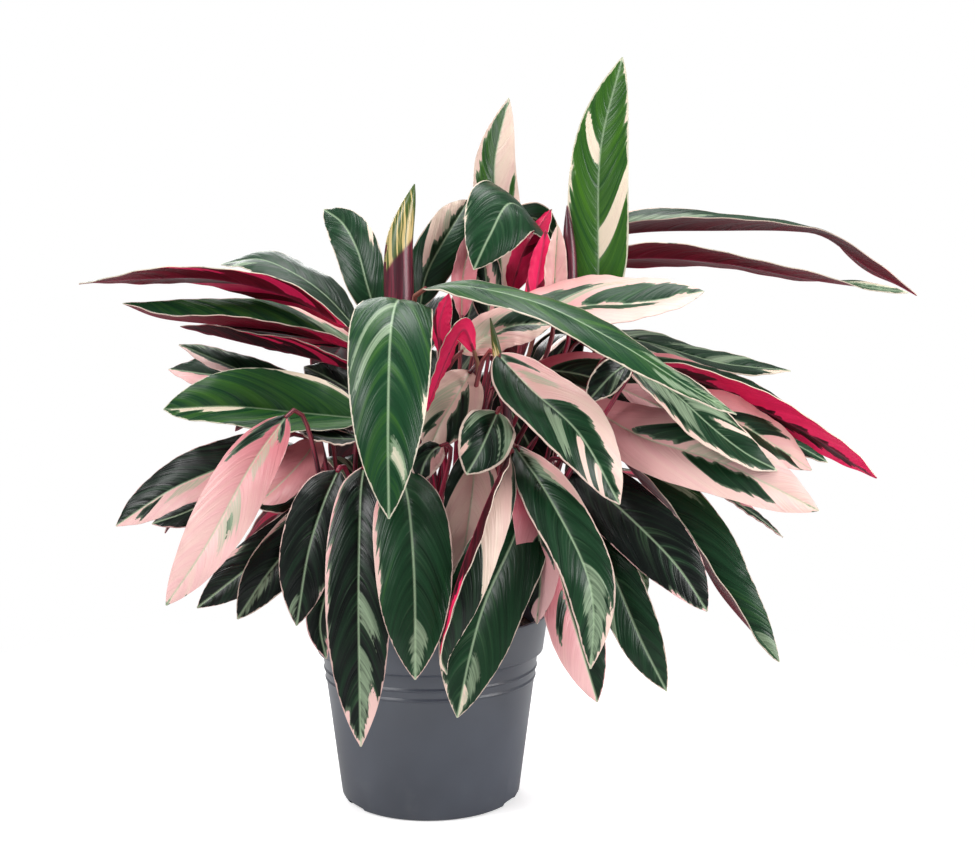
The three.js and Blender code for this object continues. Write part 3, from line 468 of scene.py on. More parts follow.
LOOKS = {
    "tall": look(0.78, 0.0, pale(LEFT, 0.6, 0.68, 0.05, 0.8), pale(RIGHT, 0.28, 0.39),
        pale(LEFT, 0.1, 0.4, 0.9), pale(RIGHT, 0.5, 1.2, 0.93), margin=1.2),
    "rosy_upright": look(0.7, 0.4, RIGHT_PALE, green(RIGHT, 0.36, 0.47, 0.6, 0.9), pale(LEFT, -1, 2, 0.84),
        margin=1.6),
    "spear_left": look(1.0, 0.5),
    "spear_mid": look(0.0, 0.5),
    "spear_front": look(0.9, 0.3),
    "hood": look(0.42, 0.2, pale(RIGHT, 0.3, 0.5, 0.95), margin=0.8),
    "pale_lean": look(0.34, 0.25, pale(LEFT, 0.2, 1.2, 0.3), pale(RIGHT, 0.7, 1.2, 0.4),
        sage(LEFT, 0.5, 0.66, 0.2, 0.6)),
    "arch_back": look(0.38, 0.2, pale(RIGHT, 0.22, 0.34, 0.75), margin=0.6),
    "pale_slip": look(0.3, 0.9, ALL_PALE, margin=0),
    "striped_slip": look(0.1, 0.6, pale(RIGHT, -1, 2, 0.1, 0.6), sage(LEFT, 0.2, 0.4)),
    "rosy_slip": look(0.7, 0.1, ALL_PALE, green(RIGHT, 0.1, 0.2), green(LEFT, 0.3, 0.4)),
    "crimson_fold": look(0.5, 0.3, ALL_PALE, green(LEFT, 0.35, 0.5), margin=0),
    "grey_slip": look(0.25, 0.6, ALL_PALE, green(LEFT, -0.2, 0.2, 0.2, 0.7), sage(RIGHT, 0, 0.3, 0.2, 0.6)),
    "green_behind": look(0.35, 0.3, sage(RIGHT, 0.1, 0.2), sage(RIGHT, 0.35, 0.45)),
    "red_sheath": look(0.4, 0.5, ALL_PALE, green(RIGHT, 0.2, 0.34, 0.4), margin=0),
    "left_high_green": look(0.3, 0.1, pale(RIGHT, 0.4, 0.5, 0.9), sage(LEFT, 0.62, 0.8, 0.5), margin=0.6),
    "left_red": look(0.4, 0.1, pale(LEFT, -0.3, 0.04), pale(LEFT, 0.12, 0.24, 0.2),
        pale(LEFT, 0.4, 0.5, 0.5), pale(RIGHT, -0.2, 0.12), pale(RIGHT, 0.24, 0.4), margin=0.4),
    "left_long_green": look(0.52, 0.5, pale(RIGHT, -0.3, 0.06, 0.7), sage(RIGHT, -0.1, 0.12, 0.2, 0.7),
        pale(LEFT, -0.2, 0.16, outer=0.75), margin=0.5),
    "left_dark_red": look(0.04, 0.3, pale(LEFT, -0.1, 0.04), pale(LEFT, 0.14, 0.22),
        pale(LEFT, 0.32, 0.4, 0.4), margin=0.4),
    "left_dark_b": look(0.04, 0.6, pale(LEFT, 0.0, 0.08, 0.1), pale(LEFT, 0.2, 0.28, 0.2),
        pale(RIGHT, 0.1, 0.3), margin=0.4),
    "left_thin": look(0.25, 0.75, pale(LEFT, 0.05, 1.2, 0.5), sage(RIGHT, 0.5, 1.0, 0.7), margin=0.6),
    "left_small": look(0.16, 0.85, pale(LEFT, -1, 2, 0.15), pale(RIGHT, -0.4, -0.1, 0.5), margin=0.5),
    "left_broad": look(0.6, 0.0, pale(LEFT, 0.58, 1.2, outer=0.4), pale(RIGHT, -0.2, 0.0, 0.92),
        margin=0.5),
    "left_low_pink": look(0.08, 0.85, LEFT_PALE, pale(RIGHT, -0.4, -0.12, 0.9),
        green(LEFT, 0.7, 0.82, 0.1, 0.7), sage(LEFT, 0.4, 0.6, 0.1, 0.5), green(LEFT, 0.0, 0.16, 0.6),
        margin=0.4),
    "left_low_under": look(0.05, 0.9, pale(LEFT, 0.1, 0.3, 0.8)),
    "pink_hang": look(0.16, 0.85, ALL_PALE, green(RIGHT, -0.4, 0.12, 0.28, 0.86),
        green(LEFT, 0.02, 0.08, 0.15, 0.5), sage(LEFT, 0.04, 0.3, 0.05, 0.4),
        sage(LEFT, 0.4, 0.6, 0.06, 0.6), green(LEFT, 0.46, 0.53, 0.18, 0.55), margin=0),
    "peach_behind": look(0.2, 0.75, ALL_PALE, green(RIGHT, 0.35, 0.5, 0.6), margin=0),
    "left_mid_dark": look(0.2, 0.5, sage(RIGHT, 0.1, 0.22), pale(LEFT, 0.1, 0.2, 0.6)),
    "left_sliver": look(0.06, 0.4, pale(RIGHT, 0.0, 0.2, 0.6), margin=1.4),
    # The low_left leaves' near-black tone is partly their own dark green and partly painted shade, the
    # shade low under the foliage
    "low_left_a": look(0.0, 0.7, pale(RIGHT, 0.3, 0.42, 0.92), margin=0.3),
    "low_left_b": look(0.02, 0.4, sage(LEFT, 0.62, 1.2, 0.0, 0.4), pale(RIGHT, -0.3, 0.2, 0.93),
        margin=0.7),
    "low_left_c": look(0.0, 0.7, sage(RIGHT, 0.8, 1.2, 0.3, 0.8), pale(LEFT, 0.3, 0.6, 0.93), margin=0.6),
    "low_left_d": look(0.0, 1.0, pale(LEFT, -1, 2, 0.7), margin=0.7),
    "front_big": look(0.52, 0.1, sage(RIGHT, 0.27, 0.31, outer=0.93), sage(RIGHT, 0.38, 0.43, outer=0.93),
        sage(LEFT, 0.74, 0.82, 0.1, 0.8), pale(LEFT, 0.77, 0.81, 0.2, 0.7), pale(LEFT, 0.34, 0.48, 0.9),
        margin=0.9),
    "front_hang_a": look(0.06, 0.75, sage(LEFT, 0.48, 0.58, 0.0, 0.6), sage(LEFT, 0.66, 1.2, 0.0, 0.5),
        pale(LEFT, 0.72, 1.2, 0.5), pale(RIGHT, -0.1, 0.4, 0.94), pale(RIGHT, 0.76, 1.2, 0.8), margin=0.8),
    "front_hang_b": look(0.36, 0.6, pale(RIGHT, -0.4, 0.3, 0.88), sage(LEFT, 0.74, 1.2, outer=0.5),
        sage(RIGHT, 0.8, 1.2, outer=0.3), pale(LEFT, -0.4, -0.15, 0.85), margin=0.7),
    "front_pink": look(0.1, 0.35, ALL_PALE, green(RIGHT, -0.4, 0.1, 0.4), green(LEFT, -0.05, 0.1, 0.6, 0.9),
        margin=0),
    "front_fold": look(0.12, 0.35, pale(LEFT, -1, 0.4), pale(RIGHT, 0.55, 1.2, 0.2),
        green(LEFT, -0.5, 0.0, 0.7), margin=0.4),
    "front_low": look(0.3, 0.4, sage(LEFT, 0.72, 1.2, 0.1, 0.6), pale(LEFT, 0.86, 1.2, outer=0.5),
        pale(RIGHT, 0.6, 1.0, 0.9), margin=0.6),
    "front_burnt": look(0.12, 1.3, ALL_PALE, green(RIGHT, 0.5, 0.85), green(LEFT, 0.35, 0.55, 0.1, 0.7),
        margin=0),
    "front_twin": look(0.15, 1.0, RIGHT_PALE, green(RIGHT, 0.3, 0.42, 0.1, 0.7),
        pale(LEFT, -0.3, 0.1, 0.6)),
    "mid_long": look(0.34, 0.5, pale(LEFT, -0.5, 0.16, 0.5), sage(LEFT, -0.1, 0.2, 0.2, 0.6),
        pale(LEFT, 0.62, 1.2, 0.7), sage(LEFT, 0.6, 1.2, 0.0, 0.6), sage(RIGHT, 0.66, 1.2, 0.0, 0.4),
        margin=1.0),
    "centre_small": look(0.2, 0.4, sage(RIGHT, -0.3, 0.0, 0.3, 0.85), sage(LEFT, -0.3, 0.0, 0.4),
        sage(LEFT, 0.14, 0.26, 0.2, 0.9), pale(RIGHT, 0.26, 0.5, 0.5), margin=1.9),
    "centre_nub": look(0.1, 0.5, pale(LEFT, -1, 0.4, 0.35), margin=1.8),
    "centre_white": look(0.14, 0.3, ALL_PALE, green(LEFT, 0.1, 0.6, 0.2, 0.9),
        sage(RIGHT, 0.05, 0.5, 0.1, 0.8), green(RIGHT, 0.5, 0.7, 0.1, 0.8), margin=0),
    "centre_curl": look(0.8, 0.0, ALL_PALE, margin=0),
    "long_green": look(0.54, 0.2, pale(LEFT, -0.35, 0.02, 0.55), sage(RIGHT, 0.7, 1.2, 0.35, 0.8),
        sage(LEFT, 0.66, 1.2, 0.3, 0.7), margin=0.9),
    "right_pale": look(0.42, 0.62, ALL_PALE, green(LEFT, 0.02, 0.24, 0.02, 0.6),
        sage(LEFT, 0.22, 0.3, 0.1, 0.8), green(LEFT, 0.36, 1.2, 0.02, 0.72),
        green(RIGHT, 0.25, 0.7, 0.05, 0.4), margin=0),
    "pale_under": look(0.22, 0.4, ALL_PALE, green(LEFT, 0.3, 1.2, 0.1, 0.8),
        green(RIGHT, 0.3, 1.1, 0.05, 0.3), sage(BOTH, -0.1, 0.3, 0.05, 0.6), margin=0),
    "bar_a": look(0.4, 0.4, pale(LEFT, -0.3, 0.05, 0.5), sage(LEFT, 0.1, 0.3, 0.3, 0.7), margin=0.6),
    "bar_b": look(0.42, 0.2, sage(BOTH, 0.78, 1.2, 0.2, 0.8), pale(LEFT, 0.8, 1.2, 0.5), margin=0.5),
    "wavy_right": look(0.28, 0.2, sage(LEFT, 0.05, 0.16, 0.2), sage(LEFT, 0.3, 0.4, 0.4),
        sage(RIGHT, 0.2, 0.34, 0.3), sage(LEFT, 0.55, 0.66), pale(RIGHT, 0.8, 1.2, 0.3), margin=0.9),
    "right_back": look(0.3, 0.75, pale(LEFT, -0.4, 0.05, 0.6), margin=0.5),
    "right_red": look(0.2, 0.1, ALL_PALE, green(LEFT, -0.6, 0.25), green(RIGHT, -0.6, 0.2, outer=0.45),
        green(LEFT, 0.24, 1.2, outer=0.6), green(RIGHT, 0.2, 1.2, outer=0.1), margin=0),
    "right_cross": look(0.34, 0.4, sage(LEFT, -0.2, 0.2, 0.1, 0.8), sage(LEFT, 0.3, 0.46, 0.1, 0.8),
        sage(RIGHT, 0.0, 0.44, 0.1, 0.7), pale(RIGHT, -0.3, 0.8, 0.84), pale(LEFT, 0.5, 0.58, 0.3),
        margin=1.3),
    "right_mid": look(0.2, 0.75, ALL_PALE, green(RIGHT, 0.0, 0.3, 0.1, 0.8),
        green(RIGHT, 0.4, 0.8, 0.05, 0.7), green(LEFT, 0.3, 0.6, 0.05, 0.7), margin=0),
    "right_mid_back": look(0.35, 0.3, sage(LEFT, 0.3, 0.45), sage(RIGHT, 0.1, 0.2)),
    "right_big_pink": look(0.2, 0.7, ALL_PALE, green(LEFT, 0.2, 0.4, 0.06, 0.8),
        sage(LEFT, 0.42, 0.6, 0.04, 0.8), green(LEFT, 0.5, 0.56, 0.2, 0.7),
        green(RIGHT, 0.42, 0.74, 0.04, 0.7), margin=0),
    "right_upper_pink": look(0.1, 1.0, ALL_PALE, green(LEFT, 0.08, 0.4, outer=0.8),
        green(RIGHT, 0.1, 0.42, outer=0.6), sage(LEFT, 0.6, 0.7), margin=0),
    "right_dark": look(0.0, 0.9, pale(RIGHT, 0.6, 1.2, 0.9), margin=0.3),
    # right_fold's own green is dark: its raised tone is painted sheen, the grey satin sheen on its face
    "right_fold": look(0.44, 0.3, sage(LEFT, 0.86, 1.2), sage(LEFT, 0.1, 0.2, 0.3, 0.8), margin=0.5),
    "right_hang": look(0.3, 0.4, sage(RIGHT, 0.3, 0.38, 0.2), margin=0.7),
    "right_narrow": look(0.6, 0.3, sage(BOTH, -1, 2, 0.3, 0.6), margin=0.4),
    "right_thin": look(0.2, 0.8, pale(LEFT, 0.1, 0.5, 0.5), margin=0.7),
    "right_curl": look(0.04, 0.3, sage(LEFT, 0.1, 0.3, 0.3, 0.8), margin=1.1),
    "mid_white": look(0.34, 0.5, LEFT_PALE, green(LEFT, -0.06, 0.05, 0.1, 0.6),
        sage(LEFT, 0.12, 0.24, 0.12, 0.6), green(LEFT, 0.36, 1.2, outer=0.5), pale(RIGHT, 0.6, 0.67, 0.1),
        pale(RIGHT, 0.75, 0.82, 0.1), sage(RIGHT, 0.36, 0.5, 0.1, 0.8), margin=1.2),
    # The inner leaves' near-black tone is partly their own dark green and partly painted shade, the shade
    # deep inside the clump
    "inner_right": look(0.05, 0.5, sage(LEFT, 0.1, 0.2), sage(RIGHT, 0.3, 0.4)),
    "inner_mid": look(0.03, 0.6, sage(RIGHT, 0.1, 0.2)),
    "inner_left": look(0.05, 0.6, pale(LEFT, 0.1, 0.3, 0.6)),
    "inner_low": look(0.04, 0.8, pale(RIGHT, 0.1, 0.3, 0.5)),
}


def drawn_look(draw):
    """A look drawn for a leaf that has none of its own."""
    marks = []
    for _ in range(draw.choice((1, 2, 2, 3))):
        start = draw.uniform(-0.2, 0.7)
        inner = draw.choice((-0.1, 0.2, 0.5))
        kind = draw.choice((pale, sage, pale))
        side = draw.choice((LEFT, RIGHT))
        marks.append(kind(side, start, start + draw.uniform(0.08, 0.3), inner))
    return look(draw.uniform(0.05, 0.5), draw.uniform(0.2, 0.8), *marks, margin=draw.uniform(0.4, 1.1))


def look_of(name):
    """The named leaf's look and a seed for its streaks."""
    seed = sum(ord(letter) * (place + 1) for place, letter in enumerate(name)) % SEED_SPAN / 10
    return dict(LOOKS.get(name) or drawn_look(random.Random(name)), seed=seed)

# ---------------------------------------------------------------- lines and frames


def unit(vectors):
    """Each vector at length 1."""
    return vectors / np.linalg.norm(vectors, axis=-1, keepdims=True)


def places_along(points, shares):
    """Places at shares of the length of a smooth line through the points, and that length."""
    points = np.array(points, float)
    padded = np.vstack([2 * points[0] - points[1], points, 2 * points[-1] - points[-2]])
    at = np.linspace(0, len(points) - 1, LINE_STEPS)
    start = np.minimum(at.astype(int), len(points) - 2)
    u = (at - start)[:, None]
    a, b, c, d = (padded[start + k] for k in range(4))
    bend, twist = 2 * a - 5 * b + 4 * c - d, 3 * b - a - 3 * c + d
    line = 0.5 * (2 * b + (c - a) * u + bend * u**2 + twist * u**3)
    reached = np.concatenate([[0], np.cumsum(np.linalg.norm(np.diff(line, axis=0), axis=1))])
    places = [np.interp(shares * reached[-1], reached, line[:, axis]) for axis in range(3)]
    return np.stack(places, axis=-1), reached[-1]


def spread(values, shares):
    """The values spread evenly from 0 to 1, read at the shares. A lone value holds throughout."""
    values = np.array([values] if np.isscalar(values) else values, float)
    if len(values) == 1:
        values = np.repeat(values, 2)
    return np.interp(shares, np.linspace(0, 1, len(values)), values)


def flattened(normal, tangent):
    """The normal, turned upright on the tangent."""
    return unit(normal - np.dot(normal, tangent) * tangent)


def frames_along(places, shares, facing, roll):
    """Tangents, upward normals and sides along a line, the normal carried along without twist."""
    tangents = unit(np.gradient(places, shares, axis=0))
    normals = np.zeros_like(places)
    start = int(np.argmin(abs(shares - FACING_AT)))
    normals[start] = flattened(np.array(facing, float), tangents[start])
    for row in range(start + 1, len(places)):
        normals[row] = flattened(normals[row - 1], tangents[row])
    for row in reversed(range(start)):
        normals[row] = flattened(normals[row + 1], tangents[row])
    turn = np.radians(spread(roll, shares))[:, None]
    normals = normals * np.cos(turn) + np.cross(tangents, normals) * np.sin(turn)
    return tangents, normals, np.cross(tangents, normals)


def outline(t):
    """Half width of a blade as a share of its widest, at t of its length."""
    before = np.clip(1 - t / WIDEST_AT, 0, 1)
    past = np.clip((t - WIDEST_AT) / (1 - WIDEST_AT), 0, 1)
    fuller = (1 - past**TIP_FULLNESS) ** TIP_SHARPNESS
    return np.where(t < WIDEST_AT, (1 - before**2) ** NECK_ROUNDNESS, fuller)


def bell(t, middle, reach):
    """1 at the middle, fading to 0 on both sides within a few times the reach."""
    return np.exp(-(((t - middle) / reach) ** 2))


# ---------------------------------------------------------------- meshes


def activate(piece):
    """Makes the piece the one that operators work on."""
    bpy.ops.object.select_all(action="DESELECT")
    piece.select_set(True)
    bpy.context.view_layer.objects.active = piece


def joined(name, pieces):
    """One piece made of several, each with its own materials."""
    activate(pieces[0])
    for piece in pieces:
        piece.select_set(True)
    if len(pieces) > 1:
        bpy.ops.object.join()
    pieces[0].name = pieces[0].data.name = name
    return pieces[0]


def apply_modifier(piece, kind, **settings):
    """Adds a modifier with these settings and makes its result the mesh."""
    modifier = piece.modifiers.new(kind.title(), kind)
    for setting, value in settings.items():
        setattr(modifier, setting, value)
    activate(piece)
    bpy.ops.object.modifier_apply(modifier=modifier.name)


def mended(piece, gap, hole_sides=None):
    """Merges points within the gap in metres, closes holes of up to so many sides and turns all faces
    outwards."""
    activate(piece)
    bpy.ops.object.mode_set(mode="EDIT")
    bpy.ops.mesh.select_all(action="SELECT")
    bpy.ops.mesh.remove_doubles(threshold=gap)
    if hole_sides:
        bpy.ops.mesh.fill_holes(sides=hole_sides)
    bpy.ops.mesh.normals_make_consistent(inside=False)
    bpy.ops.object.mode_set(mode="OBJECT")
    return piece


def smoothed(piece, sharp_angle):
    """Smooth shading, but for edges sharper than the angle in degrees."""
    activate(piece)
    bpy.ops.object.shade_smooth_by_angle(angle=math.radians(sharp_angle))


def finished_with(piece, *materials):
    """The piece with these materials and no others."""
    piece.data.materials.clear()
    for made in materials:
        piece.data.materials.append(made)
    return piece


def twin(piece):
    """A copy of a piece, with a mesh of its own."""
    copy = piece.copy()
    copy.data = piece.data.copy()
    bpy.context.scene.collection.objects.link(copy)
    return copy


def points_of(mesh):
    """The places of a mesh's points, one in a row."""
    flat = np.zeros(len(mesh.vertices) * 3)
    mesh.vertices.foreach_get("co", flat)
    return flat.reshape(-1, 3)


def flat_sheet(name, columns, rows):
    """A flat grid, two units wide and long, that curved pieces are pressed from."""
    bpy.ops.mesh.primitive_grid_add(x_subdivisions=columns, y_subdivisions=rows, size=2)
    sheet = bpy.context.object
    sheet.name = name
    return sheet


def pressed(sheet, shape):
    """A copy of a flat sheet, pressed to a shape. shape turns across (-1 to 1) and along (0 to 1) into
    places in millimetres and what the surface carries there."""
    piece = twin(sheet)
    flat = points_of(piece.data)
    places, carried = shape(flat[:, 0], (flat[:, 1] + 1) / 2)
    piece.data.vertices.foreach_set("co", (places * MM).ravel())
    for attribute, values in carried.items():
        made = piece.data.attributes.new(attribute, "FLOAT_VECTOR", "POINT")
        made.data.foreach_set("vector", np.ascontiguousarray(values, float).ravel())
    piece.data.update()
    return piece


def by_row(along, make):
    """Values made once for each row of a sheet, handed out to all its points, and the rows' shares."""
    shares, row = np.unique(np.round(along, 6), return_inverse=True)
    return [values[row] for values in make(shares)], shares[row]


def marks_of(look, across, half, reach, length):
    """Where the side vein through each point leaves the midrib, and how deep inside the pale and sage
    marks each point lies, in millimetres."""
    depths = {"pale": np.full(len(across), OUTSIDE), "sage": np.full(len(across), OUTSIDE)}
    vein = reach - VEIN_SWEEP * abs(across) * half * (VEIN_START + VEIN_BEND * abs(across))
    for kind, side, start, end, inner, outer in look["marks"]:
        lengthwise = np.minimum(vein - start * length, end * length - vein)
        crosswise = np.minimum(abs(across) - inner, outer - abs(across)) * half
        depth = np.where(across * side >= 0, np.minimum(lengthwise, crosswise), OUTSIDE)
        if kind == "green":
            depths["pale"] = np.minimum(depths["pale"], -depth)
        else:
            depths[kind] = np.maximum(depths[kind], depth)
    return vein, depths["pale"], depths["sage"]


def blade_lift(across, half, t, number):
    """How far a blade's surface lies above or below its plain fold: waves and ripples that grow towards
    the edge, a puffed half on each side and the midrib's groove. number shifts the waves."""
    reach = abs(across)
    height = WAVE_HEIGHT * np.minimum(1, half / FULL_WAVE_HALF_WIDTH)
    wave = WAVES * t + WAVE_SHIFT * number + WAVE_SLANT * across
    ripple = RIPPLES * t + RIPPLE_SHIFT * number + RIPPLE_SLANT * np.sign(across)
    lift = height * reach**2 * np.sin(2 * np.pi * wave)
    lift += RIPPLE_HEIGHT * reach**3 * np.sin(2 * np.pi * ripple)
    lift += PUFF * half * np.sin(np.pi * reach)
    lift -= GROOVE_DEPTH * bell(reach * half, 0, GROOVE_HALF_WIDTH) * (1 - t)
    return lift


def blade_shape(leaf, number, look):
    """The shape of a blade and what its surface carries: each point's place on the blade, its depth in
    the markings, and the leaf's tone, pink and seed. number is the leaf's own on its stem."""
    width = leaf["width"] / 2
    length = places_along(leaf["spine"], np.zeros(1))[1]

    def rows(t):
        places = places_along(leaf["spine"], t)[0]
        _, normals, sides = frames_along(places, t, leaf["facing"], leaf["roll"])
        least = np.where(t < NECK_END, NECK_HALF_WIDTH, TIP_HALF_WIDTH)
        half = np.maximum(width * outline(t), least)
        return places, normals, sides, half, np.radians(spread(leaf["fold"], t))

    def shape(across, along):
        across = np.sign(across) * abs(across) ** COLUMN_CROWDING
        along = along - ROW_CROWDING * np.sin(2 * np.pi * along)
        (places, normal, side, half, fold), t = by_row(along, rows)
        reach = abs(across)
        fold = np.where(reach > 0, fold, 0)[:, None]
        side = side * np.sign(across)[:, None]
        outward = side * np.cos(fold) + normal * np.sin(fold)
        up = normal * np.cos(fold) - side * np.sin(fold)
        lift = blade_lift(across, half, t, number)
        points = places + outward * (half * reach)[:, None] + up * lift[:, None]
        vein, pale_depth, sage_depth = marks_of(look, across, half, t * length, length)
        rim = (1 - reach) * half - look["margin"]
        return np.clip(points, LEAST, MOST), {
            "leaf_place": np.stack([across * half, t * length, vein], axis=-1),
            "leaf_marks": np.stack([pale_depth, sage_depth, rim], axis=-1),
            "leaf_kind": np.tile([look["tone"], look["rosy"], look["seed"]], (len(t), 1)),
        }

    return shape


def tube_shape(line, radius, facing, kind, lip=0.0):
    """A round tube along a line. radius gives its size at each share of the length. lip lifts the edge
    where a rolled leaf laps over itself."""

    def rows(t):
        places, length = places_along(line, t)
        _, normals, sides = frames_along(places, t, facing, 0)
        return places, normals, sides, radius(t), t * length

    def shape(across, along):
        (places, normal, side, size, reach), t = by_row(along, rows)
        turn = np.pi * across
        # The lip grows all the way round and drops back at the seam.
        lifted = 1 + lip * np.clip((across + 1) / 2, 0, 0.96) * (across < 0.99)
        wide = (size * lifted)[:, None]
        points = places + side * wide * np.cos(turn)[:, None] - normal * wide * np.sin(turn)[:, None]
        return points, {
            "leaf_place": np.stack([turn * size, reach, t], axis=-1),
            "leaf_kind": np.tile(kind, (len(t), 1)),
        }

    return shape


def closed_tubes(name, tubes, finish):
    """Tubes pressed from flat sheets, with their seams and ends closed."""
    piece = mended(joined(name, tubes), 0.002 * MM, TUBE_SIDES + 2)
    return finished_with(piece, finish)


# ---------------------------------------------------------------- materials


def colour(red, green, blue):
    """Linear light from the usual 0 to 255."""
    values = [v / 255 for v in (red, green, blue)]
    return [v / 12.92 if v <= 0.04045 else ((v + 0.055) / 1.055) ** 2.4 for v in values] + [1]


class Value:
    """What a shader node puts out. A sum or product of it adds a Math node."""

    def __init__(self, socket):
        self.socket = socket

    def __add__(self, other):
        return maths("ADD", self, other)

    def __sub__(self, other):
        return maths("SUBTRACT", self, other)

    def __rsub__(self, other):
        return maths("SUBTRACT", other, self)

    def __mul__(self, other):
        return maths("MULTIPLY", self, other)

    def __truediv__(self, other):
        return maths("DIVIDE", self, other)


def feed(made, socket, value):
    """Links a value to a node's input, or sets the input to a plain number or colour."""
    if isinstance(value, Value):
        made.id_data.links.new(value.socket, made.inputs[socket])
    else:
        made.inputs[socket].default_value = value


def node(tree, kind, inputs, **settings):
    """A shader node with these settings and inputs."""
    made = tree.nodes.new(kind)
    for setting, value in settings.items():
        setattr(made, setting, value)
    for socket, value in inputs.items():
        feed(made, socket, value)
    return made


def result(kind, inputs, output=0, **settings):
    """What a new node makes of its inputs, in the tree of the first value among them."""
    tree = next(value.socket.id_data for value in inputs.values() if isinstance(value, Value))
    return Value(node(tree, kind, inputs, **settings).outputs[output])


def source(tree, kind, output, **settings):
    """What a new node without inputs puts out."""
    return Value(node(tree, kind, {}, **settings).outputs[output])


def maths(operation, *values):
    return result("ShaderNodeMath", dict(enumerate(values)), operation=operation)


def rise(value, low, high):
    """0 below low, 1 above high, smooth between them."""
    inputs = {"Value": value, "From Min": low, "From Max": high}
    return result("ShaderNodeMapRange", inputs, interpolation_type="SMOOTHSTEP")


def fall(value, low, high):
    """1 below low, 0 above high, smooth between them."""
    return 1.0 - rise(value, low, high)


def mixed(factor, below, above):
    """One colour laid over another by a factor from 0 to 1."""
    return result("ShaderNodeMix", {0: factor, 6: below, 7: above}, 2, data_type="RGBA")


def noise(vector, scale, detail=2.0, roughness=0.5):
    inputs = {"Vector": vector, "Scale": scale, "Detail": detail, "Roughness": roughness}
    return result("ShaderNodeTexNoise", inputs, "Fac")


def surface_data(tree, name):
    """What the surface carries under this name."""
    return source(tree, "ShaderNodeAttribute", "Vector", attribute_name=name)


def own_place(tree):
    """The place on the piece, in metres."""
    return source(tree, "ShaderNodeTexCoord", "Object")


def split(vector):
    """The X, Y and Z of a vector."""
    return [result("ShaderNodeSeparateXYZ", {0: vector}, axis) for axis in range(3)]


def combined(x, y, z):
    return result("ShaderNodeCombineXYZ", {0: x, 1: y, 2: z})


def group(name, **inputs):
    """A new shader node group: its tree and its inputs by name."""
    tree = bpy.data.node_groups.new(name, "ShaderNodeTree")
    for socket, kind in inputs.items():
        tree.interface.new_socket(socket, in_out="INPUT", socket_type="NodeSocket" + kind)
    start = node(tree, "NodeGroupInput", {})
    return tree, {socket: Value(start.outputs[socket]) for socket in inputs}


def finished_group(tree, **results):
    """The group, with these values as its outputs."""
    for socket in results:
        tree.interface.new_socket(socket, in_out="OUTPUT", socket_type="NodeSocketFloat")
    node(tree, "NodeGroupOutput", results)
    return tree


def placed(tree, grouped, **inputs):
    """A group placed in a tree: its outputs by name."""
    made = node(tree, "ShaderNodeGroup", inputs, node_tree=grouped)
    return {socket.name: Value(socket) for socket in made.outputs}


def material(name, **settings):
    """A new material: its tree and its Principled BSDF with the plain settings made."""
    made = bpy.data.materials.new(name)
    made.use_nodes = True
    shader = made.node_tree.nodes["Principled BSDF"]
    for socket, value in settings.items():
        feed(shader, socket.replace("_", " "), value)
    return made, made.node_tree, shader


def give_relief(shader, height, strength, distance):
    """Relief of the given strength and height in millimetres."""
    inputs = {"Height": height, "Strength": strength, "Distance": distance * MM}
    feed(shader, "Normal", result("ShaderNodeBump", inputs))


def give_gloss(shader, value, smoothest, roughest, start=0.0, end=1.0):
    """Roughness from smoothest to roughest, as the value goes from start to end."""
    inputs = {
        "Value": value,
        "From Min": start,
        "From Max": end,
        "To Min": smoothest,
        "To Max": roughest,
    }
    feed(shader, "Roughness", result("ShaderNodeMapRange", inputs))


def leaf_markings_group():
    """Masks of a leaf's pale and sage marks, side veins, midrib and margin, broad streaks over it and
    the quilted relief between its veins."""
    tree, given = group("Leaf markings", Place="Vector", Marks="Vector", Seed="Float")
    across, _, vein = split(given["Place"])
    pale_depth, sage_depth, from_margin = split(given["Marks"])
    off_rib = maths("ABSOLUTE", across)

    def along_veins(frequency, stretch, shift, detail=2.0):
        """Noise from -0.5 to 0.5 that runs along the side veins: frequency across them, stretch along
        them, and a shift that sets it apart from the others."""
        vector = combined(vein * frequency, across * stretch, given["Seed"] + shift)
        return noise(vector, 1.0, detail, 0.6) - 0.5

    # Pale marks end in long jags along the veins, with a sage fringe outside.
    broad = along_veins(0.08, 0.02, 0.0)
    fine = along_veins(0.34, 0.03, 5.3)
    depth = pale_depth + (broad * 12.0 + fine * 0.6)
    pale_mask = rise(depth, -0.3, 0.35)
    fringe = rise(depth, -2.2, -0.3) * 0.4 * (1.0 - pale_mask)

    # Sage marks look brushed on, in fine strokes.
    brushed = along_veins(0.3, 0.03, 9.1, 3.0) + broad
    strokes = rise(fine, -0.16, 0.16) * 0.5 + 0.5
    sage_mask = rise(brushed * 9.0 + sage_depth, -1.0, 1.6) * strokes

    # Side veins show most near the midrib and fade towards the edge.
    half = maths("MAXIMUM", off_rib + (from_margin + 1.0), 1.0)
    inward = maths("MAXIMUM", 1.0 - off_rib / half, 0.0)
    lines = rise(along_veins(0.22, 0.02, 3.7), 0.0, 0.3)
    ragged = along_veins(0.12, 0.02, 7.7, 1.0) * 2.2
    return finished_group(
        tree,
        Pale=pale_mask,
        Sage=maths("MAXIMUM", sage_mask, fringe),
        Veins=lines * (inward * inward),
        Midrib=fall(off_rib, 0.0, 1.5),
        Margin=fall(from_margin + ragged, -0.2, 0.15),
        Streaks=broad + fine * 0.4 + 0.5,
        Quilting=along_veins(0.18, 0.06, 11.0),
    )


def three_tones(value, low, middle, high):
    """Colours at 0, 0.5 and 1 of a value, mixed between."""
    return mixed(value * 2.0 - 1.0, mixed(value * 2.0, low, middle), high)


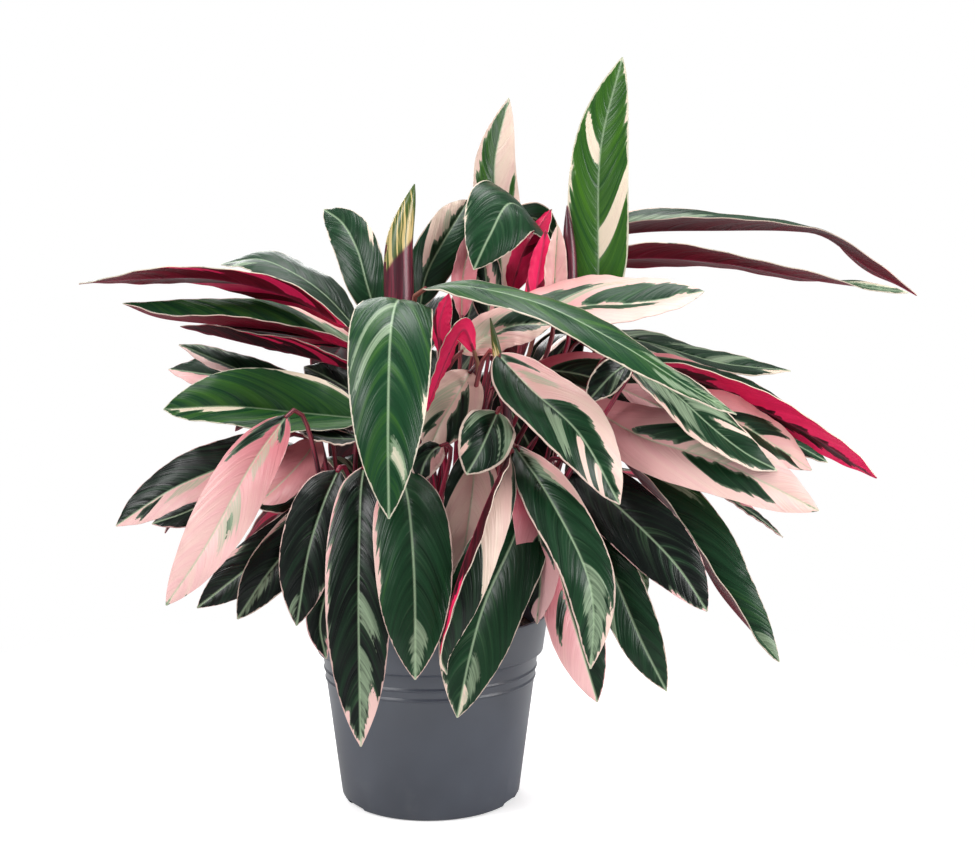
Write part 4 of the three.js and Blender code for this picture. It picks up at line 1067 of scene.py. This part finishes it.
def leaf_material(name, markings, colours, gloss, **settings):
    """One side of a leaf. colours holds three tones of its ground, the colours of its veins, sage marks
    and midrib, of its pale parts (cream to rosy, blush along the veins, and near the stalk the crimson of
    painted shade and red light through the leaf) and of its margin from cream to rosy."""
    made, tree, shader = material(name, **settings)
    place = surface_data(tree, "leaf_place")
    tone, rosy, seed = split(surface_data(tree, "leaf_kind"))
    marks = placed(tree, markings, Place=place, Marks=surface_data(tree, "leaf_marks"), Seed=seed)
    drift = marks["Streaks"] - 0.5
    ground = three_tones(tone + drift * TONE_DRIFT, *colours["ground"])
    ground = mixed(marks["Veins"] * VEIN_SHARE, ground, colours["vein"])
    light = mixed(rosy + drift * ROSY_DRIFT, colours["cream"], colours["rosy"])
    light = mixed(marks["Veins"] * BLUSH_SHARE, light, colours["blush"])
    # Painted shade and red light through the leaf: pale parts turn crimson near the stalk, the more so the
    # rosier the leaf
    light = mixed(fall(split(place)[1], *SHADE_AND_BACKLIGHT_REACH) * rosy, light, colours["shade_and_backlight"])
    base = mixed(marks["Pale"], ground, light)
    base = mixed(marks["Sage"] * SAGE_SHARE, base, colours["sage"])
    base = mixed(marks["Margin"] * MARGIN_SHARE, base, mixed(rosy, *colours["margin"]))
    base = mixed(marks["Midrib"] * MIDRIB_SHARE, base, colours["midrib"])
    feed(shader, "Base Color", base)
    give_gloss(shader, marks["Streaks"], *gloss, 0.3, 0.7)
    height = marks["Streaks"] * STREAK_RELIEF + marks["Veins"] + marks["Quilting"] * QUILT_RELIEF
    give_relief(shader, height, 0.5, 0.7)
    return made


def leaf_materials():
    """The upper side and the underside of the blades."""
    markings = leaf_markings_group()
    top = {
        "ground": (colour(5, 13, 10), colour(20, 60, 33), colour(62, 110, 20)),
        "vein": colour(96, 136, 94),
        "sage": colour(150, 170, 140),
        "midrib": colour(170, 194, 158),
        "cream": colour(230, 215, 192),
        "rosy": colour(225, 178, 177),
        "blush": colour(216, 150, 156),
        # Crimson of painted shade and red light through the leaf near the stalk
        "shade_and_backlight": colour(192, 88, 104),
        "margin": (colour(222, 214, 192), colour(222, 174, 172)),
    }
    under = {
        "ground": (colour(36, 5, 13), colour(104, 12, 33), colour(138, 26, 52)),
        "vein": colour(120, 30, 56),
        "sage": colour(118, 36, 58),
        "midrib": colour(150, 46, 74),
        "cream": colour(240, 40, 98),
        "rosy": colour(190, 18, 62),
        "blush": colour(242, 92, 140),
        # Painted shade and red light through the leaf near the stalk, on the underside
        "shade_and_backlight": colour(190, 30, 76),
        "margin": (colour(200, 56, 90), colour(176, 30, 68)),
    }
    return (
        leaf_material("leaf upper side", markings, top, (0.26, 0.44), Specular_IOR_Level=0.25),
        leaf_material("leaf underside", markings, under, (0.42, 0.6), Specular_IOR_Level=0.16),
    )


def tube_streaks_group():
    """Streaks along a stalk or a rolled leaf. Across and Along say how fine they are."""
    tree, given = group("Tube streaks", Place="Vector", Seed="Float", Across="Float", Along="Float")
    across, along, _ = split(given["Place"])
    vector = combined(across * given["Across"], along * given["Along"], given["Seed"])
    return finished_group(tree, Streak=noise(vector, 1.0, 3.0))


def tube_material(name, streaks, fineness, low, high, slant, change, relief, roughness):
    """A stalk or a rolled leaf. low and high are the colours of its lower and upper part, each with
    where the streaks turn from the first colour to the second. The parts meet on a slant round the
    tube, over the change given as shares of its length, and the tone sets how much of high there is."""
    made, tree, shader = material(name, Roughness=roughness)
    place = surface_data(tree, "leaf_place")
    across, _, share = split(place)
    tone, _, seed = split(surface_data(tree, "leaf_kind"))
    fine, long = fineness
    streak = placed(tree, streaks, Place=place, Seed=seed, Across=fine, Along=long)["Streak"]
    lower, upper = (mixed(rise(streak, *turn), *colours) for turn, colours in (low, high))
    upward = rise(across * slant + share, *change) * tone
    feed(shader, "Base Color", mixed(upward, lower, upper))
    give_relief(shader, streak, 0.3, relief)
    return made


def tube_materials():
    """The stalks and canes, and the rolled leaves."""
    streaks = tube_streaks_group()
    crimson = ((0.4, 0.6), (colour(60, 16, 28), colour(156, 34, 66)))
    neck = ((0.42, 0.6), (colour(140, 40, 62), colour(140, 126, 84)))
    maroon = ((0.42, 0.66), (colour(60, 12, 28), colour(112, 24, 48)))
    olive = ((0.48, 0.56), (colour(62, 84, 28), colour(204, 180, 120)))
    stalk = tube_material("stalk", streaks, (0.8, 0.03), crimson, neck, 0.0, (0.55, 1.0), 0.4, 0.38)
    rolled = tube_material(
        "rolled leaf", streaks, (0.45, 0.02), maroon, olive, -0.0085, (0.66, 0.7), 0.5, 0.36
    )
    return stalk, rolled


def pot_material():
    """Grey plastic, slightly uneven, with a little dust near the floor."""
    made, tree, shader = material("grey pot", Specular_IOR_Level=0.85)
    place = own_place(tree)
    patches = noise(place, 14.0, 3.0)
    base = mixed(rise(patches, 0.3, 0.75), colour(56, 61, 72), colour(67, 73, 85))
    dust = rise(noise(place, 60.0, 4.0), 0.5, 0.75) * fall(split(place)[2], 0.0, 0.05)
    feed(shader, "Base Color", mixed(dust * 0.1, base, colour(132, 132, 132)))
    give_gloss(shader, patches, 0.34, 0.46)
    give_relief(shader, noise(place, 900.0), 0.12, 0.2)
    return made


def soil_material():
    """Dark peat with pale fibres."""
    made, tree, shader = material("potting soil", Specular_IOR_Level=0.25)
    place = own_place(tree)
    crumbs = noise(place, 260.0, 4.0, 0.7)
    base = mixed(rise(crumbs, 0.35, 0.7), colour(28, 20, 15), colour(74, 55, 42))
    fibre = rise(noise(place, 700.0, 1.0), 0.66, 0.72)
    feed(shader, "Base Color", mixed(fibre * 0.7, base, colour(126, 98, 70)))
    give_gloss(shader, crumbs, 0.75, 0.98)
    give_relief(shader, crumbs, 0.8, 2)
    return made


# ---------------------------------------------------------------- the pot and its soil


def body_radius(height):
    """The radius of the pot's body below its rim band."""
    return FOOT_RADIUS + (SHOULDER_RADIUS - FOOT_RADIUS) * height / RIM_FOOT


def ring_profile(height):
    """A raised ring round the pot, from its foot to its top."""
    radius = body_radius(height)
    low, high = height - RING_HALF_HEIGHT, height + RING_HALF_HEIGHT
    rounded = radius + RING_ROUND_SHARE * RING_RELIEF
    return [
        (body_radius(low), low),
        (rounded, height - RING_ROUND_AT),
        (radius + RING_RELIEF, height),
        (rounded, height + RING_ROUND_AT),
        (body_radius(high), high),
    ]


def arc(radius, height, size, start, end, steps):
    """Points of a round edge about a centre, from one angle to another."""
    angles = [math.radians(start + (end - start) * i / steps) for i in range(steps + 1)]
    return [(radius + size * math.cos(a), height + size * math.sin(a)) for a in angles]


def turned(name, profile, sides):
    """A round piece: a disc at the profile's first point, extruded and resized along the rest of it."""
    radius, height = profile[0]
    bpy.ops.mesh.primitive_circle_add(
        vertices=sides, radius=radius * MM, fill_type="NGON", location=(0, 0, height * MM)
    )
    piece = bpy.context.object
    piece.name = name
    bpy.ops.object.transform_apply(location=True)
    bpy.ops.object.mode_set(mode="EDIT")
    bpy.ops.mesh.select_all(action="SELECT")
    for (before, low), (after, high) in zip(profile, profile[1:]):
        bpy.ops.mesh.extrude_region_move(TRANSFORM_OT_translate={"value": (0, 0, (high - low) * MM)})
        scale = after / before
        bpy.ops.transform.resize(value=(scale, scale, 1), center_override=(0, 0, high * MM))
    bpy.ops.mesh.select_all(action="SELECT")
    bpy.ops.mesh.normals_make_consistent(inside=False)
    bpy.ops.object.mode_set(mode="OBJECT")
    return piece


def pot_profile():
    """The pot's shell from the flat of its foot, up the outside and down the inside."""
    rim_foot_radius = SHOULDER_RADIUS + RIM_STEP
    inner_foot = FOOT_RADIUS - WALL
    shoulder_foot = RIM_FOOT - SHOULDER_START
    bend_out, bend_drop = SHOULDER_BEND
    corner_in, corner_up = INNER_CORNER
    profile = [(FOOT_RADIUS - inset, height) for inset, height in FOOT_CORNER]
    profile += [(body_radius(FOOT_CORNER_TOP), FOOT_CORNER_TOP)]
    for height in RING_HEIGHTS:
        profile += ring_profile(height)
    profile += [(body_radius(shoulder_foot), shoulder_foot)]
    profile += [(SHOULDER_RADIUS + bend_out, RIM_FOOT - bend_drop)]
    size = RIM_FOOT_ROUND
    profile += arc(rim_foot_radius - size, RIM_FOOT + size, size, -90, 0, 3)
    size = RIM_ROUND
    profile += arc(RIM_RADIUS - size, POT_HEIGHT - size, size, 0, 180, 8)
    profile += [(rim_foot_radius - WALL, RIM_FOOT + WALL), (SHOULDER_RADIUS - WALL, RIM_FOOT - WALL)]
    return profile + [(inner_foot, WALL + corner_up), (inner_foot - corner_in, WALL)]


def make_pot():
    """The pot, with three notches cut in its foot."""
    pot = turned("pot_shell", pot_profile(), POT_SIDES)
    for angle in NOTCH_ANGLES:
        turn = math.radians(angle)
        place = (FOOT_RADIUS * MM * math.cos(turn), FOOT_RADIUS * MM * math.sin(turn), 0)
        bpy.ops.mesh.primitive_cube_add(size=1, location=place, rotation=(0, 0, turn))
        cutter = bpy.context.object
        cutter.scale = (4 * WALL * MM, NOTCH_WIDTH * MM, 2 * NOTCH_HEIGHT * MM)
        bpy.ops.object.transform_apply(location=True, rotation=True, scale=True)
        apply_modifier(pot, "BOOLEAN", operation="DIFFERENCE", solver="EXACT", object=cutter)
        bpy.data.objects.remove(cutter)
    smoothed(pot, POT_SHARP_ANGLE)
    pot.data.materials.append(pot_material())
    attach(pot, "root")
    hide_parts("pot")


def soil_height(x, y):
    """Heaps and lumps of the soil's top, with grit on them."""
    heaps = np.sin(HEAP_PITCH * x) * np.cos(HEAP_PITCH * y)
    lumps = np.sin(LUMP_PITCH * (x - y)) * np.cos(LUMP_PITCH * (x + y))
    grit = np.sin(GRIT_PITCH * (x + 0.6 * y)) * np.cos(GRIT_PITCH * (y - 0.5 * x))
    return HEAP_HEIGHT * ((heaps + lumps) / 2 + GRIT_SHARE * grit)


def soil_ground(shoulder, edge):
    """The filling of the pot, pressed from a sheet: its underside, its side and its uneven top."""
    foot = FOOT_RADIUS - WALL - SOIL_GAP
    floor = WALL + SOIL_GAP
    walls = [(AXIS_RADIUS, floor), (foot - SOIL_CORNER, floor), (foot, floor + SOIL_CORNER)]
    walls += [(shoulder, RIM_FOOT - WALL), (edge - SOIL_EDGE, RIM_FOOT + SOIL_CORNER)]
    walls += [(edge, SOIL_TOP - SOIL_EDGE)]
    top = [(edge * (1 - i / SOIL_RINGS) + AXIS_RADIUS, SOIL_TOP) for i in range(SOIL_RINGS + 1)]
    profile = np.array(walls + top)

    def shape(across, along):
        row = np.rint(along * (len(profile) - 1)).astype(int)
        radius, height = profile[row, 0], profile[row, 1]
        x, y = radius * np.cos(np.pi * across), radius * np.sin(np.pi * across)
        height = height + np.where(row >= len(walls), soil_height(x, y), 0)
        return np.stack([x, y, height], axis=-1), {}

    sheet = flat_sheet("soil_sheet", SOIL_SIDES, len(profile) - 1)
    ground = pressed(sheet, shape)
    bpy.data.objects.remove(sheet)
    return ground


def loose_crumb(pebble, draw, reach):
    """A lumpy crumb somewhere on the soil's top, made from a round pebble."""
    radius, turn = reach * math.sqrt(draw.random()), draw.uniform(0, 2 * math.pi)
    x, y = radius * math.cos(turn), radius * math.sin(turn)
    size = [draw.uniform(*ends) for ends in CRUMB_SIZES]
    spin = draw.uniform(0, math.pi)
    crumb = twin(pebble)
    flat = points_of(crumb.data)
    wave = flat[:, :2] @ CRUMB_LUMP_PITCHES + CRUMB_SPIN_PITCH * spin
    flat = flat * size * (1 + CRUMB_LUMPS * np.sin(wave))[:, None]
    places = np.stack([
        flat[:, 0] * math.cos(spin) - flat[:, 1] * math.sin(spin) + x,
        flat[:, 0] * math.sin(spin) + flat[:, 1] * math.cos(spin) + y,
        flat[:, 2] + SOIL_TOP + float(soil_height(x, y)),
    ], axis=-1)
    crumb.data.vertices.foreach_set("co", (places * MM).ravel())
    return crumb


def make_soil():
    """The soil, with loose crumbs on it."""
    shoulder = SHOULDER_RADIUS - WALL - SOIL_GAP
    edge = shoulder + RIM_STEP
    ground = soil_ground(shoulder, edge)
    bpy.ops.mesh.primitive_ico_sphere_add(subdivisions=2, radius=1)
    pebble = bpy.context.object
    draw = random.Random(CRUMB_SEED)
    crumbs = [loose_crumb(pebble, draw, edge - SOIL_CORNER) for _ in range(CRUMB_COUNT)]
    bpy.data.objects.remove(pebble)
    soil = mended(joined("soil_and_crumbs", [ground, *crumbs]), 0.02 * MM)
    smoothed(soil, SOIL_SHARP_ANGLE)
    finished_with(soil, soil_material())
    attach(soil, "root")
    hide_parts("soil")


# ---------------------------------------------------------------- the leafy stems


def stalk_line(leaf, cane, neck, tangent):
    """The stalk's bend from inside the cane to the blade's neck, which it meets head on."""
    x, y, top = cane
    lean = np.array([leaf["stalk"][0] - x, leaf["stalk"][1] - y, 0.0])
    foot = np.array([x, y, top - STALK_SINK]) + STALK_OFFSET * unit(lean)
    lead = min(STALK_LEAD, np.linalg.norm(neck - foot) * STALK_LEAD_SHARE)
    t = np.linspace(0, 1, STALK_POINTS)[:, None]
    bend = (1 - t) ** 3 * foot + 3 * (1 - t) ** 2 * t * np.array(leaf["stalk"])
    bend = bend + 3 * (1 - t) * t**2 * (neck - tangent * lead) + t**3 * neck
    return [*bend, neck + tangent * STALK_INTO_BLADE]


def stalk_radius(t):
    """Stout where the leaf's sheath wraps the stalk, and a little swollen under the blade."""
    plain = STALK_FOOT_RADIUS + (STALK_NECK_RADIUS - STALK_FOOT_RADIUS) * t
    sheath = SHEATH_THICKNESS / (1 + np.exp((t - SHEATH_END) / SHEATH_FADE))
    return plain + sheath + SWELLING * bell(t, SWELLING_AT, SWELLING_REACH)


def cane_radius(t):
    """Slimmer towards the rounded top, with a few rings."""
    ring = CANE_RING_RELIEF * bell((t * CANE_RINGS) % 1, 0.5, CANE_RING_REACH)
    rounded = np.sqrt(np.clip((CANE_ROUND_END - t) / CANE_ROUND_REACH, CANE_LEAST_ROUND, 1))
    return CANE_RADIUS * (1 + (CANE_TAPER - 1) * t) * (CANE_SLIMNESS + ring) * rounded


def rolled_radius(leaf):
    """The radius along a rolled leaf: a blade's outline without its narrow start."""
    half = leaf["width"] / 2
    return lambda t: np.maximum(half * outline(SPEAR_START + (1 - SPEAR_START) * t), TIP_HALF_WIDTH)


def cane_tube(cane, flat_tube):
    """The upright cane that the stalks leave."""
    x, y, height = cane
    line = [(x, y, CANE_FOOT), (x, y, (CANE_FOOT + height) / 2), (x, y, height)]
    return pressed(flat_tube, tube_shape(line, cane_radius, (1, 0, 0), (*CANE_KIND, x * 0.1)))


def make_stem(name, cane, leaves, sheets, finishes):
    """A cane with its stalks, blades and rolled leaves, all in one piece."""
    flat_leaf, flat_tube = sheets
    top, under, stalk_finish, rolled_finish = finishes
    blades, stalks, spears = [], [], []
    for number, leaf in enumerate(leaves):
        look = look_of(leaf["name"])
        kind = (look["tone"], look["rosy"], look["seed"])
        shares = np.linspace(0, 1, SPINE_ROWS)
        places = places_along(leaf["spine"], shares)[0]
        tangent = frames_along(places, shares, leaf["facing"], 0)[0][0]
        line = stalk_line(leaf, cane, places[0], tangent)
        stalks.append(pressed(flat_tube, tube_shape(line, stalk_radius, leaf["facing"], kind)))
        if leaf["rolled"]:
            shape = tube_shape(leaf["spine"], rolled_radius(leaf), leaf["facing"], kind, SPEAR_LIP)
            spears.append(pressed(flat_tube, shape))
        else:
            blades.append(pressed(flat_leaf, blade_shape(leaf, number, look)))
    stalks.append(cane_tube(cane, flat_tube))
    foliage = finished_with(joined(name + "_blades", blades), top, under)
    apply_modifier(
        foliage,
        "SOLIDIFY",
        thickness=BLADE_THICKNESS * MM,
        offset=0,
        material_offset=1,
        material_offset_rim=0,
    )
    parts = [foliage, closed_tubes(name + "_stalks", stalks, stalk_finish)]
    if spears:
        parts.append(closed_tubes(name + "_rolled", spears, rolled_finish))
    stem = joined(name + "_stem", parts)
    smoothed(stem, STEM_SHARP_ANGLE)
    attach(stem, "root")
    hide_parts(name)


# ---------------------------------------------------------------- room, light and camera


def show_white(tree, seen, plain, kind, end):
    """Shows the camera plain white of the given kind where seen is 1, and otherwise the plain shader."""
    white = node(tree, kind, {"Color": (1, 1, 1, 1), "Strength": 1.0}).outputs[0]
    shown = result("ShaderNodeMixShader", {0: seen, 1: Value(plain.outputs[0]), 2: Value(white)})
    feed(tree.nodes[end], "Surface", shown)


def make_floor():
    """A pale floor that fades to white far from the plant. The plant itself gets only the softer light
    of a grey floor."""
    bpy.ops.mesh.primitive_plane_add(size=FLOOR_SIZE, location=(0, 0, -FLOOR_DROP))
    floor = bpy.context.object
    floor.name = "studio_floor"
    made, tree, shader = material("pale floor", Roughness=0.9, Emission_Color=(1, 1, 1, 1))
    seen = source(tree, "ShaderNodeLightPath", "Is Camera Ray")
    feed(shader, "Base Color", mixed(seen, colour(*[FLOOR_GREY] * 3), colour(240, 240, 240)))
    feed(shader, "Emission Strength", seen * FLOOR_GLOW)
    away = result("ShaderNodeVectorMath", {0: own_place(tree)}, "Value", operation="LENGTH")
    fade = rise(away, *FLOOR_FADE) * seen
    show_white(tree, fade, shader, "ShaderNodeEmission", "Material Output")
    floor.data.materials.append(made)


def make_world():
    """Even white light all round, and a plain white backdrop."""
    world = bpy.data.worlds.new("studio")
    world.use_nodes = True
    tree = world.node_tree
    room = tree.nodes["Background"]
    feed(room, "Color", (1, 1, 1, 1))
    feed(room, "Strength", ROOM_LIGHT)
    seen = source(tree, "ShaderNodeLightPath", "Is Camera Ray")
    show_white(tree, seen, room, "ShaderNodeBackground", "World Output")
    bpy.context.scene.world = world


def make_light(name, place, target, size, power):
    """A square soft light in metres and watts, aimed at the target."""
    bpy.ops.object.light_add(type="AREA", location=place)
    lamp = bpy.context.object
    lamp.name = name
    lamp.data.energy = power
    lamp.data.size = size
    direction = np.array(target, float) - np.array(place, float)
    flat = math.hypot(direction[0], direction[1])
    turn = math.atan2(direction[1], direction[0]) - math.pi / 2
    lamp.rotation_euler = (math.atan2(flat, -direction[2]), 0, turn)


def make_camera():
    """The camera in front of the plant, looking slightly down."""
    bpy.ops.object.camera_add(location=[v * MM for v in CAMERA_PLACE])
    camera = bpy.context.object
    camera.rotation_euler = (math.radians(90 - CAMERA_PITCH), 0, 0)
    camera.data.sensor_width = 36
    camera.data.lens = CAMERA_LENS
    camera.data.clip_start, camera.data.clip_end = 0.05, 60
    bpy.context.scene.camera = camera


make_pot()
make_soil()
sheets = (
    flat_sheet("flat_leaf", BLADE_COLUMNS, BLADE_ROWS),
    flat_sheet("flat_tube", TUBE_SIDES, TUBE_ROWS),
)
finishes = (*leaf_materials(), *tube_materials())
for stem_name, (stem_cane, stem_leaves) in SHOOTS.items():
    make_stem(stem_name, stem_cane, stem_leaves, sheets, finishes)
for sheet in sheets:
    bpy.data.objects.remove(sheet)

make_floor()
make_world()
for light_name, light in LIGHTS.items():
    make_light(light_name, *light)
make_camera()
bpy.context.scene.view_settings.view_transform = "Standard"
